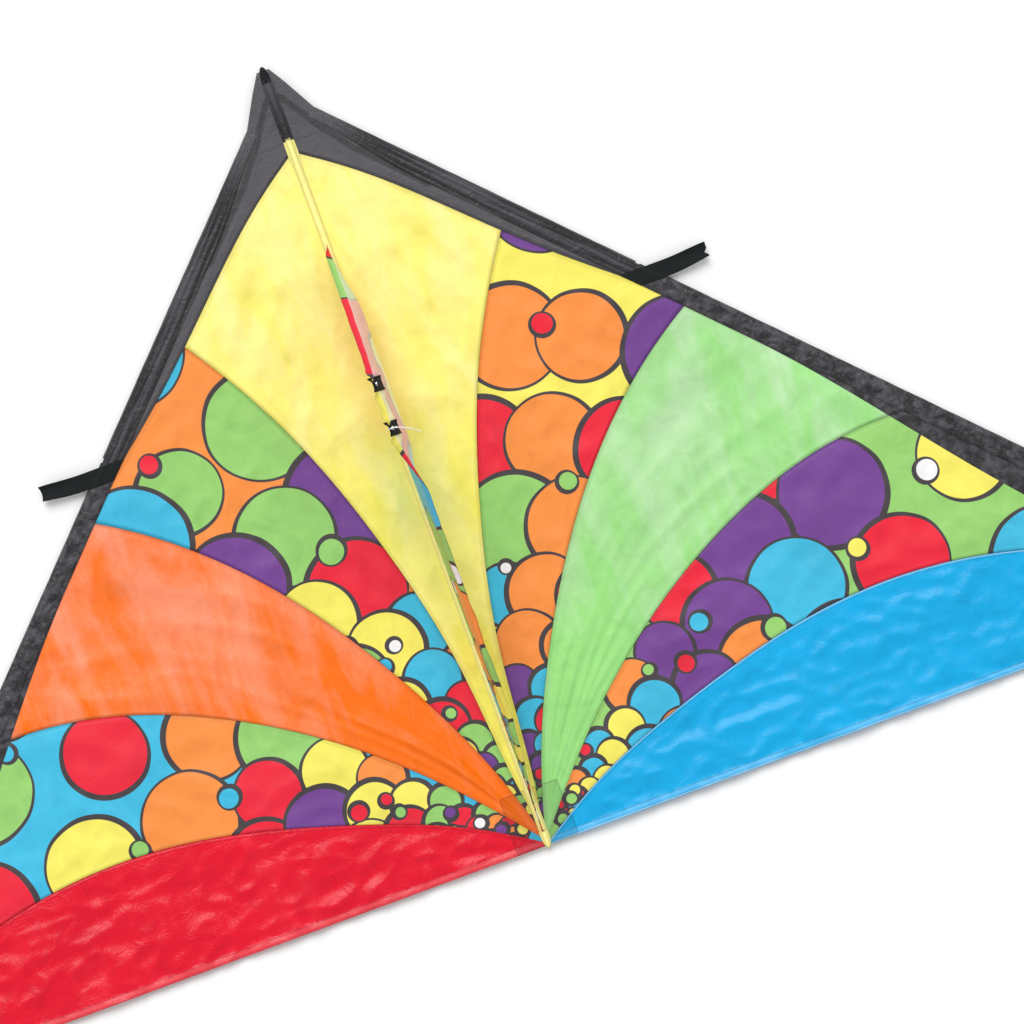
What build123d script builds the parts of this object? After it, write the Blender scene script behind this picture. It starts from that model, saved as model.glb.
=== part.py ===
"""Delta kite, 2.74 m across, lying on its back with the keel up.

+X is the right wing, +Y the nose, +Z the front (keel) side. The origin is at the middle of the
kite's outline, on the surface that it lies on. Places on the sail are given as (out, down):
millimetres out from the spine, and millimetres down from the nose tip.
"""

import os
from math import hypot, radians, tan

from build123d import *

os.makedirs("parts", exist_ok=True)

# Sail outline
LENGTH = 1450.0  # nose tip to the end of the spine
TRAIL = 1446.0  # nose tip to the trailing edge
HALF_SPAN = 1371.5
SHOULDER = (61.0, 94.0)  # where the beak of the nose meets the leading edge
BEAK = (11.0, 7.0)  # the outer corner of the blunt nose tip
SLEEVE_WIDTH = 35.0

# Heights above the surface that the kite lies on
SPAR_Z = 6.0
SAIL_Z = 11.4
CLOTH = 0.6
FRONT_Z = SAIL_Z + CLOTH
PATCH_Z = 10.7
TUNNEL_Z = FRONT_Z + 0.2

# Rods, ferrules and caps
ROD_R = 3.0
SLIP = 0.05  # radial clearance of a rod in a socket
END_GAP = 0.5
FERRULE_R = 4.2
FERRULE_LENGTH = 80.0
CAP_LENGTH = 14.0
CAP_END = 3.0
SPAR_START = 250.0  # along the leading edge from the shoulder
SPAR_ROD = 800.0
SPINE_START = 18.0
SPINE_ROD = 707.0

# Leading edge sleeve
SLEEVE_R = 6.0
SLEEVE_BORE = 5.0
SEAM_STRIP = 1.1
WINDOW_LENGTH = 46.0
WINDOW_DEPTH = 21.0

# Wing hinge lines, and the strip of sail between them
HINGE_X = 6.5
STRIP_HALF = 6.1
WING_IN = 6.9

# Spine tunnel
TUNNEL_R = 5.0
TUNNEL_BORE = 4.5
FLANGE_HALF = 10.0
SPINE_Z = TUNNEL_Z + TUNNEL_R
POCKET_LENGTH = 30.0
POCKET_END = 2.0
BLACK_TUNNEL_END = 133.0

# Spreader
SPREADER = 572.0  # down from the nose tip
PIVOT_IN = 18.0  # from the leading edge to the swivel pin
FITTING_R = 5.0
FITTING_LENGTH = 30.0
LUG_R = 4.5
LUG = 2.0
LUG_HEIGHT = 4.0  # from the spar's height to a lug's outer face
PIN_R = 1.5
TANG = 3.6
TANG_R = 4.3
SOCKET_R = 4.2
SOCKET_START = 7.5
SOCKET_FLOOR = 10.0
SOCKET_END = 34.0
TUBE_R = 4.7
TUBE_HALF = 32.0

# Webbing
WEB = 1.2
WEB_Z = FRONT_Z + 0.1
TAB_WIDTH = 30.0
TAB_LENGTH = 95.0
TAB_HINGE_OUT = 1.0  # the fold line of a pull tab, outside the leading edge
TIP_PATCH = 45.0

# Keel
KEEL_Z = 23.0  # its fold line along the spine
KEEL_FOOT = 0.6
KEEL_DEPTH = 300.0
KEEL_CLOTH = 0.8
KEEL_FRONT = 330.0
KEEL_REAR = 1440.0
TOW_DOWN = (595.0, 675.0)  # front and rear tow tabs
TOW_MARGIN = 23.0
TOW_BELOW = 9.0  # from the keel's free edge to an eyelet's centre
TOW_TAB_WIDTH = 26.0
TOW_TAB_DEPTH = 32.0
EYELET_R = 3.0
EYELET_HOLE = 4.0
EYELET_BARREL = 3.9
EYELET_FLANGE_R = 5.2
EYELET_FLANGE = 0.6
EYELET_Z = KEEL_Z + KEEL_DEPTH - TOW_BELOW

# String at the rear tow tab
STRING_R = 0.9
RING_R = 8.5
KNOT_R = 2.4
STRING_TAIL = [(2.2, 0.0, 0.0), (13.0, -3.0, 1.6), (24.0, -8.5, 1.8), (34.5, -14.0, 0.2), (44.0, -21.5, -3.5)]

# Seams between the panels, from the spine outwards
NOSE_SEAM = [(WING_IN, 162), (82, 216), (215, 335), (358, 471)]
YELLOW_SEAM = [(0, 1422), (12, 1353), (40, 1085), (92, 853), (171, 630), (298, 406), (352, 330)]
PETAL_SEAM = [(0, 1430), (37, 1310), (129, 1109), (262, 902), (450, 712), (555, 642), (610, 612)]
OUTER_SEAM = [(0, 1437), (65, 1360), (241, 1186), (457, 1043), (712, 957), (821, 949), (900, 951)]
TAIL_SEAM = [(0, 1442), (96, 1383), (335, 1287), (602, 1224), (855, 1228), (1241, 1360), (1300, 1388)]
SEAM_MEETS_SLEEVE = 580.0  # where the nose seam ends, down from the nose tip

HANDS = ((1, "right"), (-1, "left"))
EDGE_LENGTH = hypot(HALF_SPAN - SHOULDER[0], TRAIL - SHOULDER[1])
EDGE_OUT = (HALF_SPAN - SHOULDER[0]) / EDGE_LENGTH
EDGE_DOWN = (TRAIL - SHOULDER[1]) / EDGE_LENGTH


def on_sail(side, out, down, height=0.0):
    """A point of the kite, from its place on the sail."""
    return (side * out, LENGTH / 2 - down, height)


def by_edge(side, along, inward, height=0.0):
    """A point of the kite, from its place beside the leading edge."""
    out = SHOULDER[0] + along * EDGE_OUT - inward * EDGE_DOWN
    down = SHOULDER[1] + along * EDGE_DOWN + inward * EDGE_OUT
    return on_sail(side, out, down, height)


def edge_out(down, inward=0.0):
    """How far out the sail reaches at a place down from the nose, less an inward distance."""
    return SHOULDER[0] + (down - SHOULDER[1]) * EDGE_OUT / EDGE_DOWN - inward / EDGE_DOWN


def edge_plane(side, along, inward=SPAR_Z, height=SPAR_Z):
    """A plane across the leading edge: x points into the sail, y up. It is extruded by -side."""
    into_sail = Vector(-side * EDGE_DOWN, -EDGE_OUT, 0)
    facing = into_sail.cross(Vector(0, 0, 1))
    return Plane(by_edge(side, along, inward, height), x_dir=into_sail, z_dir=facing)


def spine_plane(down, height=SPINE_Z):
    """A plane across the spine that faces the tail, with its y pointing up."""
    return Plane(on_sail(1, 0, down, height), x_dir=(-1, 0, 0), z_dir=(0, -1, 0))


def save(piece, label):
    """Names a finished piece and writes it."""
    piece.part.label = label
    export_step(piece.part, f"parts/{label}.step")


def seam(side, places):
    """Draws one seam as a smooth line through its places."""
    Spline(*[on_sail(side, out, down) for out, down in places])


def outline(side, places):
    """Draws straight edges through places on the sail."""
    Polyline(*[on_sail(side, out, down) for out, down in places])


def make_rod(plane, length, label):
    """A straight pultruded rod."""
    with BuildPart() as rod:
        with BuildSketch(plane):
            Circle(ROD_R)
        extrude(amount=length)
    save(rod, label)


def make_ferrule(plane, length, label, radius=FERRULE_R):
    """A tube that holds the ends of two rods."""
    with BuildPart() as ferrule:
        with BuildSketch(plane):
            Circle(radius)
            Circle(ROD_R + SLIP, mode=Mode.SUBTRACT)
        extrude(amount=length)
    save(ferrule, label)


def make_caps(planes, inward_lengths, label):
    """Two rubber caps, each a cup over one end of a rod."""
    with BuildPart() as caps:
        for plane, length in zip(planes, inward_lengths):
            with BuildSketch(plane):
                Circle(FERRULE_R)
            extrude(amount=length)
            with BuildSketch(plane):
                Circle(ROD_R + SLIP)
            extrude(amount=length - CAP_END * length / abs(length), mode=Mode.SUBTRACT)
    save(caps, label)


# ---- Spine: rods, ferrule, caps, tunnel and pockets ----

make_rod(spine_plane(SPINE_START), SPINE_ROD, "spine_rod_upper")
make_rod(spine_plane(SPINE_START + SPINE_ROD), SPINE_ROD, "spine_rod_lower")
make_ferrule(spine_plane(SPINE_START + SPINE_ROD - FERRULE_LENGTH / 2), FERRULE_LENGTH, "spine_ferrule")
CAP_INSIDE = CAP_LENGTH - CAP_END
make_caps(
    [spine_plane(SPINE_START + CAP_INSIDE), spine_plane(SPINE_START + 2 * SPINE_ROD - CAP_INSIDE)],
    [-CAP_LENGTH, CAP_LENGTH],
    "spine_end_caps",
)


def make_tunnel(start, end, label):
    """A length of the cloth tunnel: a round pipe sewn down by a flange on each side."""
    with BuildPart() as tunnel:
        with BuildSketch(spine_plane(start)):
            Circle(TUNNEL_R)
            with Locations((0, (CLOTH - 2 * TUNNEL_R) / 2)):
                Rectangle(2 * FLANGE_HALF, CLOTH)
            Circle(TUNNEL_BORE, mode=Mode.SUBTRACT)
        extrude(amount=end - start)
    save(tunnel, label)


def make_pocket(start, label, end_wall_first):
    """A webbing pocket that closes one end of the tunnel."""
    with BuildPart() as pocket:
        with BuildSketch(spine_plane(start)):
            Circle(TUNNEL_R)
            with Locations((0, (CLOTH - 2 * TUNNEL_R) / 2)):
                Rectangle(2 * FLANGE_HALF, CLOTH)
        extrude(amount=POCKET_LENGTH)
        hollow_start = start + POCKET_END if end_wall_first else start
        with BuildSketch(spine_plane(hollow_start)):
            Circle(TUNNEL_BORE)
        extrude(amount=POCKET_LENGTH - POCKET_END, mode=Mode.SUBTRACT)
    save(pocket, label)


make_pocket(0, "nose_pocket", True)
make_tunnel(POCKET_LENGTH, BLACK_TUNNEL_END, "spine_tunnel_black")
make_tunnel(BLACK_TUNNEL_END, LENGTH - POCKET_LENGTH, "spine_tunnel_yellow")
make_pocket(LENGTH - POCKET_LENGTH, "tail_pocket", False)

with BuildPart() as spine_strip:
    with BuildSketch(Plane.XY.offset(SAIL_Z)):
        with BuildLine():
            Polyline(
                on_sail(1, -STRIP_HALF, BEAK[1]),
                on_sail(1, STRIP_HALF, BEAK[1]),
                on_sail(1, STRIP_HALF, TRAIL),
                on_sail(1, -STRIP_HALF, TRAIL),
                close=True,
            )
        make_face()
    extrude(amount=CLOTH)
save(spine_strip, "spine_strip")

across_middle = Plane(on_sail(1, -TUBE_HALF, SPREADER, SPAR_Z), x_dir=(0, 1, 0), z_dir=(1, 0, 0))
make_ferrule(across_middle, 2 * TUBE_HALF, "spreader_centre_tube", TUBE_R)


# ---- Keel, tow tabs and eyelets ----


def keel_places(places):
    """Turns (down, height above the fold line) into points of the plane x = 0."""
    return [(LENGTH / 2 - down, KEEL_Z + height) for down, height in places]


FREE_FRONT = TOW_DOWN[0] - TOW_MARGIN
FREE_REAR = TOW_DOWN[1] + TOW_MARGIN
with BuildPart() as keel_fin:
    with BuildSketch(Plane.YZ):
        with BuildLine():
            Spline(*keel_places([(KEEL_FRONT, KEEL_FOOT), (462, 178), (FREE_FRONT, KEEL_DEPTH)]))
            Polyline(*keel_places([(FREE_FRONT, KEEL_DEPTH), (FREE_REAR, KEEL_DEPTH)]))
            Spline(*keel_places([(FREE_REAR, KEEL_DEPTH), (1040, 146), (KEEL_REAR, KEEL_FOOT)]))
            Polyline(*keel_places([(KEEL_REAR, KEEL_FOOT), (KEEL_FRONT, KEEL_FOOT)]))
        make_face()
        for down in TOW_DOWN:
            with Locations(*keel_places([(down, KEEL_DEPTH - TOW_BELOW)])):
                Circle(EYELET_HOLE, mode=Mode.SUBTRACT)
    extrude(amount=KEEL_CLOTH / 2, both=True)
save(keel_fin, "keel_fin")

PLY_IN = KEEL_CLOTH / 2 + SLIP
TAB_HALF = PLY_IN + WEB
for down, place in zip(TOW_DOWN, ("front", "rear")):
    with BuildPart() as tow_tab:
        with BuildSketch(Plane.YZ):
            with Locations(*keel_places([(down, KEEL_DEPTH + PLY_IN + WEB - TOW_TAB_DEPTH / 2)])):
                RectangleRounded(TOW_TAB_WIDTH, TOW_TAB_DEPTH, TAB_HALF)
            with Locations(*keel_places([(down, KEEL_DEPTH - TOW_BELOW)])):
                Circle(EYELET_HOLE, mode=Mode.SUBTRACT)
        extrude(amount=TAB_HALF, both=True)
        with BuildSketch(Plane.YZ):
            with Locations(*keel_places([(down, KEEL_DEPTH + PLY_IN - TOW_TAB_DEPTH / 2)])):
                Rectangle(TOW_TAB_WIDTH + 2, TOW_TAB_DEPTH)
        extrude(amount=PLY_IN, both=True, mode=Mode.SUBTRACT)
    save(tow_tab, f"tow_tab_{place}")

with BuildPart() as tow_eyelets:
    for down in TOW_DOWN:
        with BuildSketch(Plane.YZ):
            with Locations(*keel_places([(down, KEEL_DEPTH - TOW_BELOW)])):
                Circle(EYELET_BARREL)
        extrude(amount=TAB_HALF + EYELET_FLANGE, both=True)
        for face_x in (TAB_HALF, -TAB_HALF - EYELET_FLANGE):
            with BuildSketch(Plane.YZ.offset(face_x)):
                with Locations(*keel_places([(down, KEEL_DEPTH - TOW_BELOW)])):
                    Circle(EYELET_FLANGE_R)
            extrude(amount=EYELET_FLANGE)
        with BuildSketch(Plane.YZ):
            with Locations(*keel_places([(down, KEEL_DEPTH - TOW_BELOW)])):
                Circle(EYELET_R)
        extrude(amount=TAB_HALF + 2 * EYELET_FLANGE, both=True, mode=Mode.SUBTRACT)
save(tow_eyelets, "tow_eyelets")


# ---- String at the rear tow tab: a ring through the eyelet, a knot and a free end ----

ring_plane = Plane(on_sail(1, 0, TOW_DOWN[1], EYELET_Z + RING_R), x_dir=(1, 0, 0), z_dir=(0, -1, 0))
knot_place = on_sail(1, 0, TOW_DOWN[1], EYELET_Z + 2 * RING_R + STRING_R + SLIP + KNOT_R)
with BuildPart() as string_ring:
    with Locations(ring_plane):
        Torus(RING_R, STRING_R)
save(string_ring, "string_ring")

with BuildPart() as string_knot:
    with Locations(knot_place):
        Sphere(KNOT_R)
save(string_knot, "string_knot")

tail_route = [Vector(*knot_place) + Vector(*step) for step in STRING_TAIL]
tail_radii = []
for before, here, after in zip(tail_route, tail_route[1:], tail_route[2:]):
    turn = radians((here - before).get_angle(after - here))
    tail_radii.append(0.45 * min((here - before).length, (after - here).length) / tan(turn / 2))
print("string tail radii", [round(radius, 1) for radius in tail_radii])
with BuildPart() as string_tail:
    with BuildLine():
        tail_line = FilletPolyline(*tail_route, radius=tail_radii)
    with BuildSketch(Plane(tail_line @ 0, z_dir=tail_line % 0)):
        Circle(STRING_R)
    sweep()
    with Locations(knot_place):
        Sphere(KNOT_R, mode=Mode.SUBTRACT)
save(string_tail, "string_tail")
print("string tail length", round(tail_line.length, 1))


# ---- Wings ----


def make_sleeve(side, hand):
    """The leading edge sleeve: a cloth pipe round the spar and a strip sewn to the panels."""
    with BuildPart() as sleeve:
        with BuildSketch(edge_plane(side, 0)):
            Circle(SLEEVE_R)
            with Locations(((SLEEVE_WIDTH - SLEEVE_R) / 2, SLEEVE_R - SEAM_STRIP / 2)):
                Rectangle(SLEEVE_WIDTH - SLEEVE_R, SEAM_STRIP)
            Circle(SLEEVE_BORE, mode=Mode.SUBTRACT)
        extrude(amount=-side * (EDGE_LENGTH + SLEEVE_WIDTH))
        trailing_edge = Plane(on_sail(side, 0, TRAIL), z_dir=(0, 1, 0))
        split(bisect_by=trailing_edge, keep=Keep.TOP)
        window = edge_plane(side, PIVOT_ALONG - WINDOW_LENGTH / 2, -1, 0)
        with BuildSketch(window):
            with Locations((WINDOW_DEPTH / 2, (FRONT_Z - SEAM_STRIP) / 2)):
                Rectangle(WINDOW_DEPTH, FRONT_Z - SEAM_STRIP)
        extrude(amount=-side * WINDOW_LENGTH, mode=Mode.SUBTRACT)
    save(sleeve, f"sleeve_{hand}")


def make_nose_panel(side, hand):
    """The black panel of the nose, which tapers out beside the sleeve to the spreader."""
    seam_end = (edge_out(SEAM_MEETS_SLEEVE, SLEEVE_WIDTH), SEAM_MEETS_SLEEVE)
    with BuildPart() as nose_panel:
        with BuildSketch(Plane.XY.offset(SAIL_Z)):
            with BuildLine():
                seam(side, NOSE_SEAM + [seam_end])
                sleeve_top = by_edge(side, 0, SLEEVE_WIDTH)
                Polyline(on_sail(side, *seam_end), sleeve_top, on_sail(side, *SHOULDER))
                outline(side, [SHOULDER, BEAK, (WING_IN, BEAK[1]), NOSE_SEAM[0]])
            make_face()
        extrude(amount=CLOTH)
    save(nose_panel, f"nose_panel_{hand}")


def make_panel(side, label, upper, lower):
    """A sail panel: what lies between two seams, inside the sleeve and below the nose panel."""
    seam_end = (edge_out(SEAM_MEETS_SLEEVE, SLEEVE_WIDTH), SEAM_MEETS_SLEEVE)
    with BuildPart() as panel:
        with BuildSketch(Plane.XY.offset(SAIL_Z)):
            with BuildLine():
                seam(side, NOSE_SEAM + [seam_end])
                sleeve_tip = (edge_out(TRAIL, SLEEVE_WIDTH), TRAIL)
                outline(side, [seam_end, sleeve_tip, (WING_IN, TRAIL), NOSE_SEAM[0]])
            make_face()
            with BuildLine():
                for edge in (upper, lower):
                    if len(edge) > 2:
                        seam(side, edge)
                    else:
                        outline(side, edge)
                outline(side, [upper[0], lower[0]])
                outline(side, [upper[-1], lower[-1]])
            make_face(mode=Mode.INTERSECT)
        extrude(amount=CLOTH)
    save(panel, label)


def make_patch(side, label, places, bottom, thickness):
    """A flat patch of cloth or webbing sewn to the sail."""
    with BuildPart() as patch:
        with BuildSketch(Plane.XY.offset(bottom)):
            with BuildLine():
                outline(side, places + places[:1])
            make_face()
        extrude(amount=thickness)
    save(patch, label)


PIVOT_OUT = edge_out(SPREADER, PIVOT_IN)
PIVOT_ALONG = (PIVOT_OUT - SHOULDER[0]) * EDGE_OUT + (SPREADER - SHOULDER[1]) * EDGE_DOWN


def make_fitting(side, hand):
    """The swivel fitting: a moulding clamped on the spar, with a pin between two lugs."""
    with BuildPart() as fitting:
        with BuildSketch(edge_plane(side, PIVOT_ALONG - FITTING_LENGTH / 2)):
            Circle(FITTING_R)
        extrude(amount=-side * FITTING_LENGTH)
        for bottom in (SPAR_Z - LUG_HEIGHT, SPAR_Z + LUG_HEIGHT - LUG):
            with BuildSketch(Plane.XY.offset(bottom)):
                with BuildLine():
                    Polyline(
                        by_edge(side, PIVOT_ALONG - LUG_R, SPAR_Z),
                        by_edge(side, PIVOT_ALONG + LUG_R, SPAR_Z),
                        by_edge(side, PIVOT_ALONG + LUG_R, PIVOT_IN),
                        by_edge(side, PIVOT_ALONG - LUG_R, PIVOT_IN),
                        close=True,
                    )
                make_face()
                with Locations(by_edge(side, PIVOT_ALONG, PIVOT_IN)[:2]):
                    Circle(LUG_R)
            extrude(amount=LUG)
        with BuildSketch(Plane.XY.offset(SPAR_Z - LUG_HEIGHT)):
            with Locations(by_edge(side, PIVOT_ALONG, PIVOT_IN)[:2]):
                Circle(PIN_R)
        extrude(amount=2 * LUG_HEIGHT)
        with BuildSketch(edge_plane(side, PIVOT_ALONG - FITTING_LENGTH / 2)):
            Circle(ROD_R + SLIP)
        extrude(amount=-side * FITTING_LENGTH, mode=Mode.SUBTRACT)
    save(fitting, f"spreader_fitting_{hand}")


def spreader_plane(side, from_pivot):
    """A plane across the spreader half that faces the spine."""
    place = on_sail(side, PIVOT_OUT - from_pivot, SPREADER, SPAR_Z)
    return Plane(place, x_dir=(0, side, 0), z_dir=(-side, 0, 0))


def make_spreader_half(side, hand):
    """Half of the spreader: a rod, and its end fitting with an eye on the swivel pin."""
    reach = PIVOT_OUT - HINGE_X - END_GAP
    make_rod(spreader_plane(side, SOCKET_FLOOR), reach - SOCKET_FLOOR, f"spreader_rod_{hand}")
    with BuildPart() as end_fitting:
        with BuildSketch(spreader_plane(side, SOCKET_START)):
            Circle(SOCKET_R)
        extrude(amount=SOCKET_END - SOCKET_START)
        with BuildSketch(spreader_plane(side, SOCKET_FLOOR)):
            Circle(ROD_R + SLIP)
        extrude(amount=SOCKET_END - SOCKET_FLOOR, mode=Mode.SUBTRACT)
        with BuildSketch(Plane.XY.offset(SPAR_Z - TANG / 2)):
            with Locations(on_sail(side, PIVOT_OUT, SPREADER)[:2]):
                Circle(TANG_R)
            with Locations(on_sail(side, PIVOT_OUT - SOCKET_START / 2, SPREADER)[:2]):
                Rectangle(SOCKET_START + END_GAP, 2 * PIN_R + TANG)
            with Locations(on_sail(side, PIVOT_OUT, SPREADER)[:2]):
                Circle(PIN_R + SLIP, mode=Mode.SUBTRACT)
        extrude(amount=TANG)
    save(end_fitting, f"spreader_end_{hand}")


def make_pull_tab(side, hand):
    """The webbing pull tab: its sewn part across the sleeve, and its free part past the edge."""
    top = SPREADER - TAB_WIDTH / 2
    low = SPREADER + TAB_WIDTH / 2
    sewn = [
        (edge_out(top, SLEEVE_WIDTH), top),
        (edge_out(top), top),
        (edge_out(low), low),
        (edge_out(low, SLEEVE_WIDTH), low),
    ]
    make_patch(side, f"tab_anchor_{hand}", sewn, WEB_Z, WEB)
    free_start = -TAB_HINGE_OUT - END_GAP
    free_end = edge_out(SPREADER) + TAB_LENGTH
    free = [(edge_out(top, free_start), top), (free_end, top), (free_end, low), (edge_out(low, free_start), low)]
    make_patch(side, f"pull_tab_{hand}", free, WEB_Z, WEB)


def make_wing_spar(side, hand):
    """The leading edge spar: two rods, their ferrule and two end caps."""
    middle = SPAR_START + SPAR_ROD
    for start, name in ((SPAR_START, "upper"), (middle, "lower")):
        make_rod(edge_plane(side, start), -side * SPAR_ROD, f"spar_{name}_{hand}")
    ferrule = edge_plane(side, middle - FERRULE_LENGTH / 2)
    make_ferrule(ferrule, -side * FERRULE_LENGTH, f"spar_ferrule_{hand}")
    make_caps(
        [edge_plane(side, SPAR_START + CAP_INSIDE), edge_plane(side, middle + SPAR_ROD - CAP_INSIDE)],
        [side * CAP_LENGTH, -side * CAP_LENGTH],
        f"spar_end_caps_{hand}",
    )


PETAL_COLOURS = {"right": ("green", "blue"), "left": ("orange", "red")}
for side, hand in HANDS:
    middle_colour, tail_colour = PETAL_COLOURS[hand]
    make_sleeve(side, hand)
    make_nose_panel(side, hand)
    nose_corner = [(0, SHOULDER[1]), (YELLOW_SEAM[-1][0], SHOULDER[1])]
    trail_corner = [(0, LENGTH), (HALF_SPAN, LENGTH)]
    make_panel(side, f"yellow_panel_{hand}", nose_corner, YELLOW_SEAM)
    make_panel(side, f"inner_print_{hand}", YELLOW_SEAM, PETAL_SEAM)
    make_panel(side, f"{middle_colour}_petal_{hand}", PETAL_SEAM, OUTER_SEAM)
    make_panel(side, f"outer_print_{hand}", OUTER_SEAM, TAIL_SEAM)
    make_panel(side, f"{tail_colour}_tail_{hand}", TAIL_SEAM, trail_corner)
    nose_patch = [(WING_IN, 64), (30, 116), (53, 140), (WING_IN, 141)]
    make_patch(side, f"nose_patch_{hand}", nose_patch, PATCH_Z, CLOTH)
    base_patch = [(WING_IN, 1340), (54, 1341), (58, 1412), (58, 1440), (WING_IN, 1440)]
    make_patch(side, f"base_patch_{hand}", base_patch, PATCH_Z, CLOTH)
    tip = [
        (edge_out(TRAIL - TIP_PATCH, SLEEVE_WIDTH), TRAIL - TIP_PATCH),
        (edge_out(TRAIL - TIP_PATCH), TRAIL - TIP_PATCH),
        (HALF_SPAN, TRAIL),
        (edge_out(TRAIL, SLEEVE_WIDTH), TRAIL),
    ]
    make_patch(side, f"tip_pocket_{hand}", tip, WEB_Z, WEB)
    make_wing_spar(side, hand)
    make_fitting(side, hand)
    make_spreader_half(side, hand)
    make_pull_tab(side, hand)
print("spreader pivot", round(PIVOT_OUT, 2), "eyelet height", EYELET_Z)
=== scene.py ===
"""Delta kite of sewn nylon panels, laid on its back with the keel up.

Places on the sail are given as (out, down): millimetres out from the spine, and millimetres
down from the nose tip. The finished pieces are in metres, in the frame of the CAD model.
"""

from math import cos, hypot, pi, radians, sin
from random import Random

import bmesh
import bpy
import numpy as np
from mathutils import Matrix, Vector


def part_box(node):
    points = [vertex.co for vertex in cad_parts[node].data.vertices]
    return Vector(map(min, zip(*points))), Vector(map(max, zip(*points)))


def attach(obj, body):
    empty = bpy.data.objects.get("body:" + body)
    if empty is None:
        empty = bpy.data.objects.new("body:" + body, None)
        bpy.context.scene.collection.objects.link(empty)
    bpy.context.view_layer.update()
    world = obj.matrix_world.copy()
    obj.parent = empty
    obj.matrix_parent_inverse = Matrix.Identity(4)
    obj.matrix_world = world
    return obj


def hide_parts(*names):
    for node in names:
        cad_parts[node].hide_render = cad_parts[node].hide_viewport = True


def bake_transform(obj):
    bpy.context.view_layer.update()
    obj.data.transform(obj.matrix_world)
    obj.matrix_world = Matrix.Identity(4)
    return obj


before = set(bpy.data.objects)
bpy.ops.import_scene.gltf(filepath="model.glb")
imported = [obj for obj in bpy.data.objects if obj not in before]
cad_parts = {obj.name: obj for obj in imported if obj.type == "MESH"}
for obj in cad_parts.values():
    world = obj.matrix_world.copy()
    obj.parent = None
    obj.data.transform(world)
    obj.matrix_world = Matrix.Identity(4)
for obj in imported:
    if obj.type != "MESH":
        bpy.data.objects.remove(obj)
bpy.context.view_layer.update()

bl_info = {
    "name": "Delta kite",
    "version": (1, 0, 0),
    "blender": (4, 5, 0),
    "location": "3D View > Sidebar > Kite",
    "description": "Makes the cloth, webbing, cord and finishes of a delta kite on its CAD frame",
    "category": "Add Mesh",
}

MM = 0.001

# Places taken from the CAD model
NOSE_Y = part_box("nose_pocket")[1][1]
SAIL_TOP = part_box("yellow_panel_right")[1][2] / MM
TRAIL = (NOSE_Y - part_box("blue_tail_right")[0][1]) / MM
HALF_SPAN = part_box("tip_pocket_right")[1][0] / MM
LENGTH = (NOSE_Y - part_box("tail_pocket")[0][1]) / MM
WING_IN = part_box("yellow_panel_right")[0][0] / MM
TUNNEL_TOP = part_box("spine_tunnel_yellow")[1][2] / MM
TUNNEL_START = (NOSE_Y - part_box("spine_tunnel_yellow")[1][1]) / MM
TUNNEL_END = (NOSE_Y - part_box("spine_tunnel_yellow")[0][1]) / MM
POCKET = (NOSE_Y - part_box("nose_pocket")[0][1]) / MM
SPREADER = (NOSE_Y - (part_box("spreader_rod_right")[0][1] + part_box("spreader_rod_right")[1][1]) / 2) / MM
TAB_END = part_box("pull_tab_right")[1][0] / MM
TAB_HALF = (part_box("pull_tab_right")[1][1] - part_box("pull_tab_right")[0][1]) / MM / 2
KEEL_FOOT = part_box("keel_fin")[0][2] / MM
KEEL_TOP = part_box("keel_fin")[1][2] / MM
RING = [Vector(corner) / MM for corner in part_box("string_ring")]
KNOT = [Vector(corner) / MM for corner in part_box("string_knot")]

# Given places, the same as the CAD model's
SHOULDER = (61.0, 94.0)
BEAK = (11.0, 7.0)
SLEEVE = 35.0
SEAM_MEETS_SLEEVE = 580.0
NOSE_SEAM = [(WING_IN, 162), (82, 216), (215, 335), (358, 471)]
YELLOW_SEAM = [(0, 1422), (12, 1353), (40, 1085), (92, 853), (171, 630), (298, 406), (352, 330)]
PETAL_SEAM = [(0, 1430), (37, 1310), (129, 1109), (262, 902), (450, 712), (555, 642), (610, 612)]
OUTER_SEAM = [(0, 1437), (65, 1360), (241, 1186), (457, 1043), (712, 957), (821, 949), (900, 951)]
TAIL_SEAM = [(0, 1442), (96, 1383), (335, 1287), (602, 1224), (855, 1228), (1241, 1360), (1300, 1388)]
KEEL_FRONT_EDGE = [(330, 0.6), (462, 178), (572, 300)]
KEEL_HEM = 10.0
KEEL_REAR_EDGE = [(698, 300), (1040, 146), (1440, 0.6)]
TOW_DOWN = {"front": 595.0, "rear": 675.0}
TOW_BELOW = 9.0
TOW_TAB = (26.0, 32.0)
STRING_TAIL = [(2.2, 0.0, 0.0), (13.0, -3.0, 1.6), (24.0, -8.5, 1.8), (34.5, -14.0, 0.2), (44.0, -21.5, -3.5)]

EDGE_LENGTH = hypot(HALF_SPAN - SHOULDER[0], TRAIL - SHOULDER[1])
EDGE_OUT = (HALF_SPAN - SHOULDER[0]) / EDGE_LENGTH
EDGE_DOWN = (TRAIL - SHOULDER[1]) / EDGE_LENGTH
HANDS = (("right", 1), ("left", -1))
HINGE_START = 3.0  # out from the spine, where the panels of a wing start, at its hinge
LEAST_SHEET_SHARE = 0.3002


def edge_out(down, inward=0.0):
    """How far out the sail reaches at a place down from the nose, less an inward distance."""
    return SHOULDER[0] + (down - SHOULDER[1]) * EDGE_OUT / EDGE_DOWN - inward / EDGE_DOWN


def by_edge(along, inward):
    """The (out, down) of a place beside the leading edge."""
    out = SHOULDER[0] + along * EDGE_OUT - inward * EDGE_DOWN
    return out, SHOULDER[1] + along * EDGE_DOWN + inward * EDGE_OUT


PIVOT_ALONG = (edge_out(SPREADER, 18) - SHOULDER[0]) * EDGE_OUT + (SPREADER - SHOULDER[1]) * EDGE_DOWN


# ---- Lines and surfaces, worked out as arrays in millimetres ----


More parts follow.
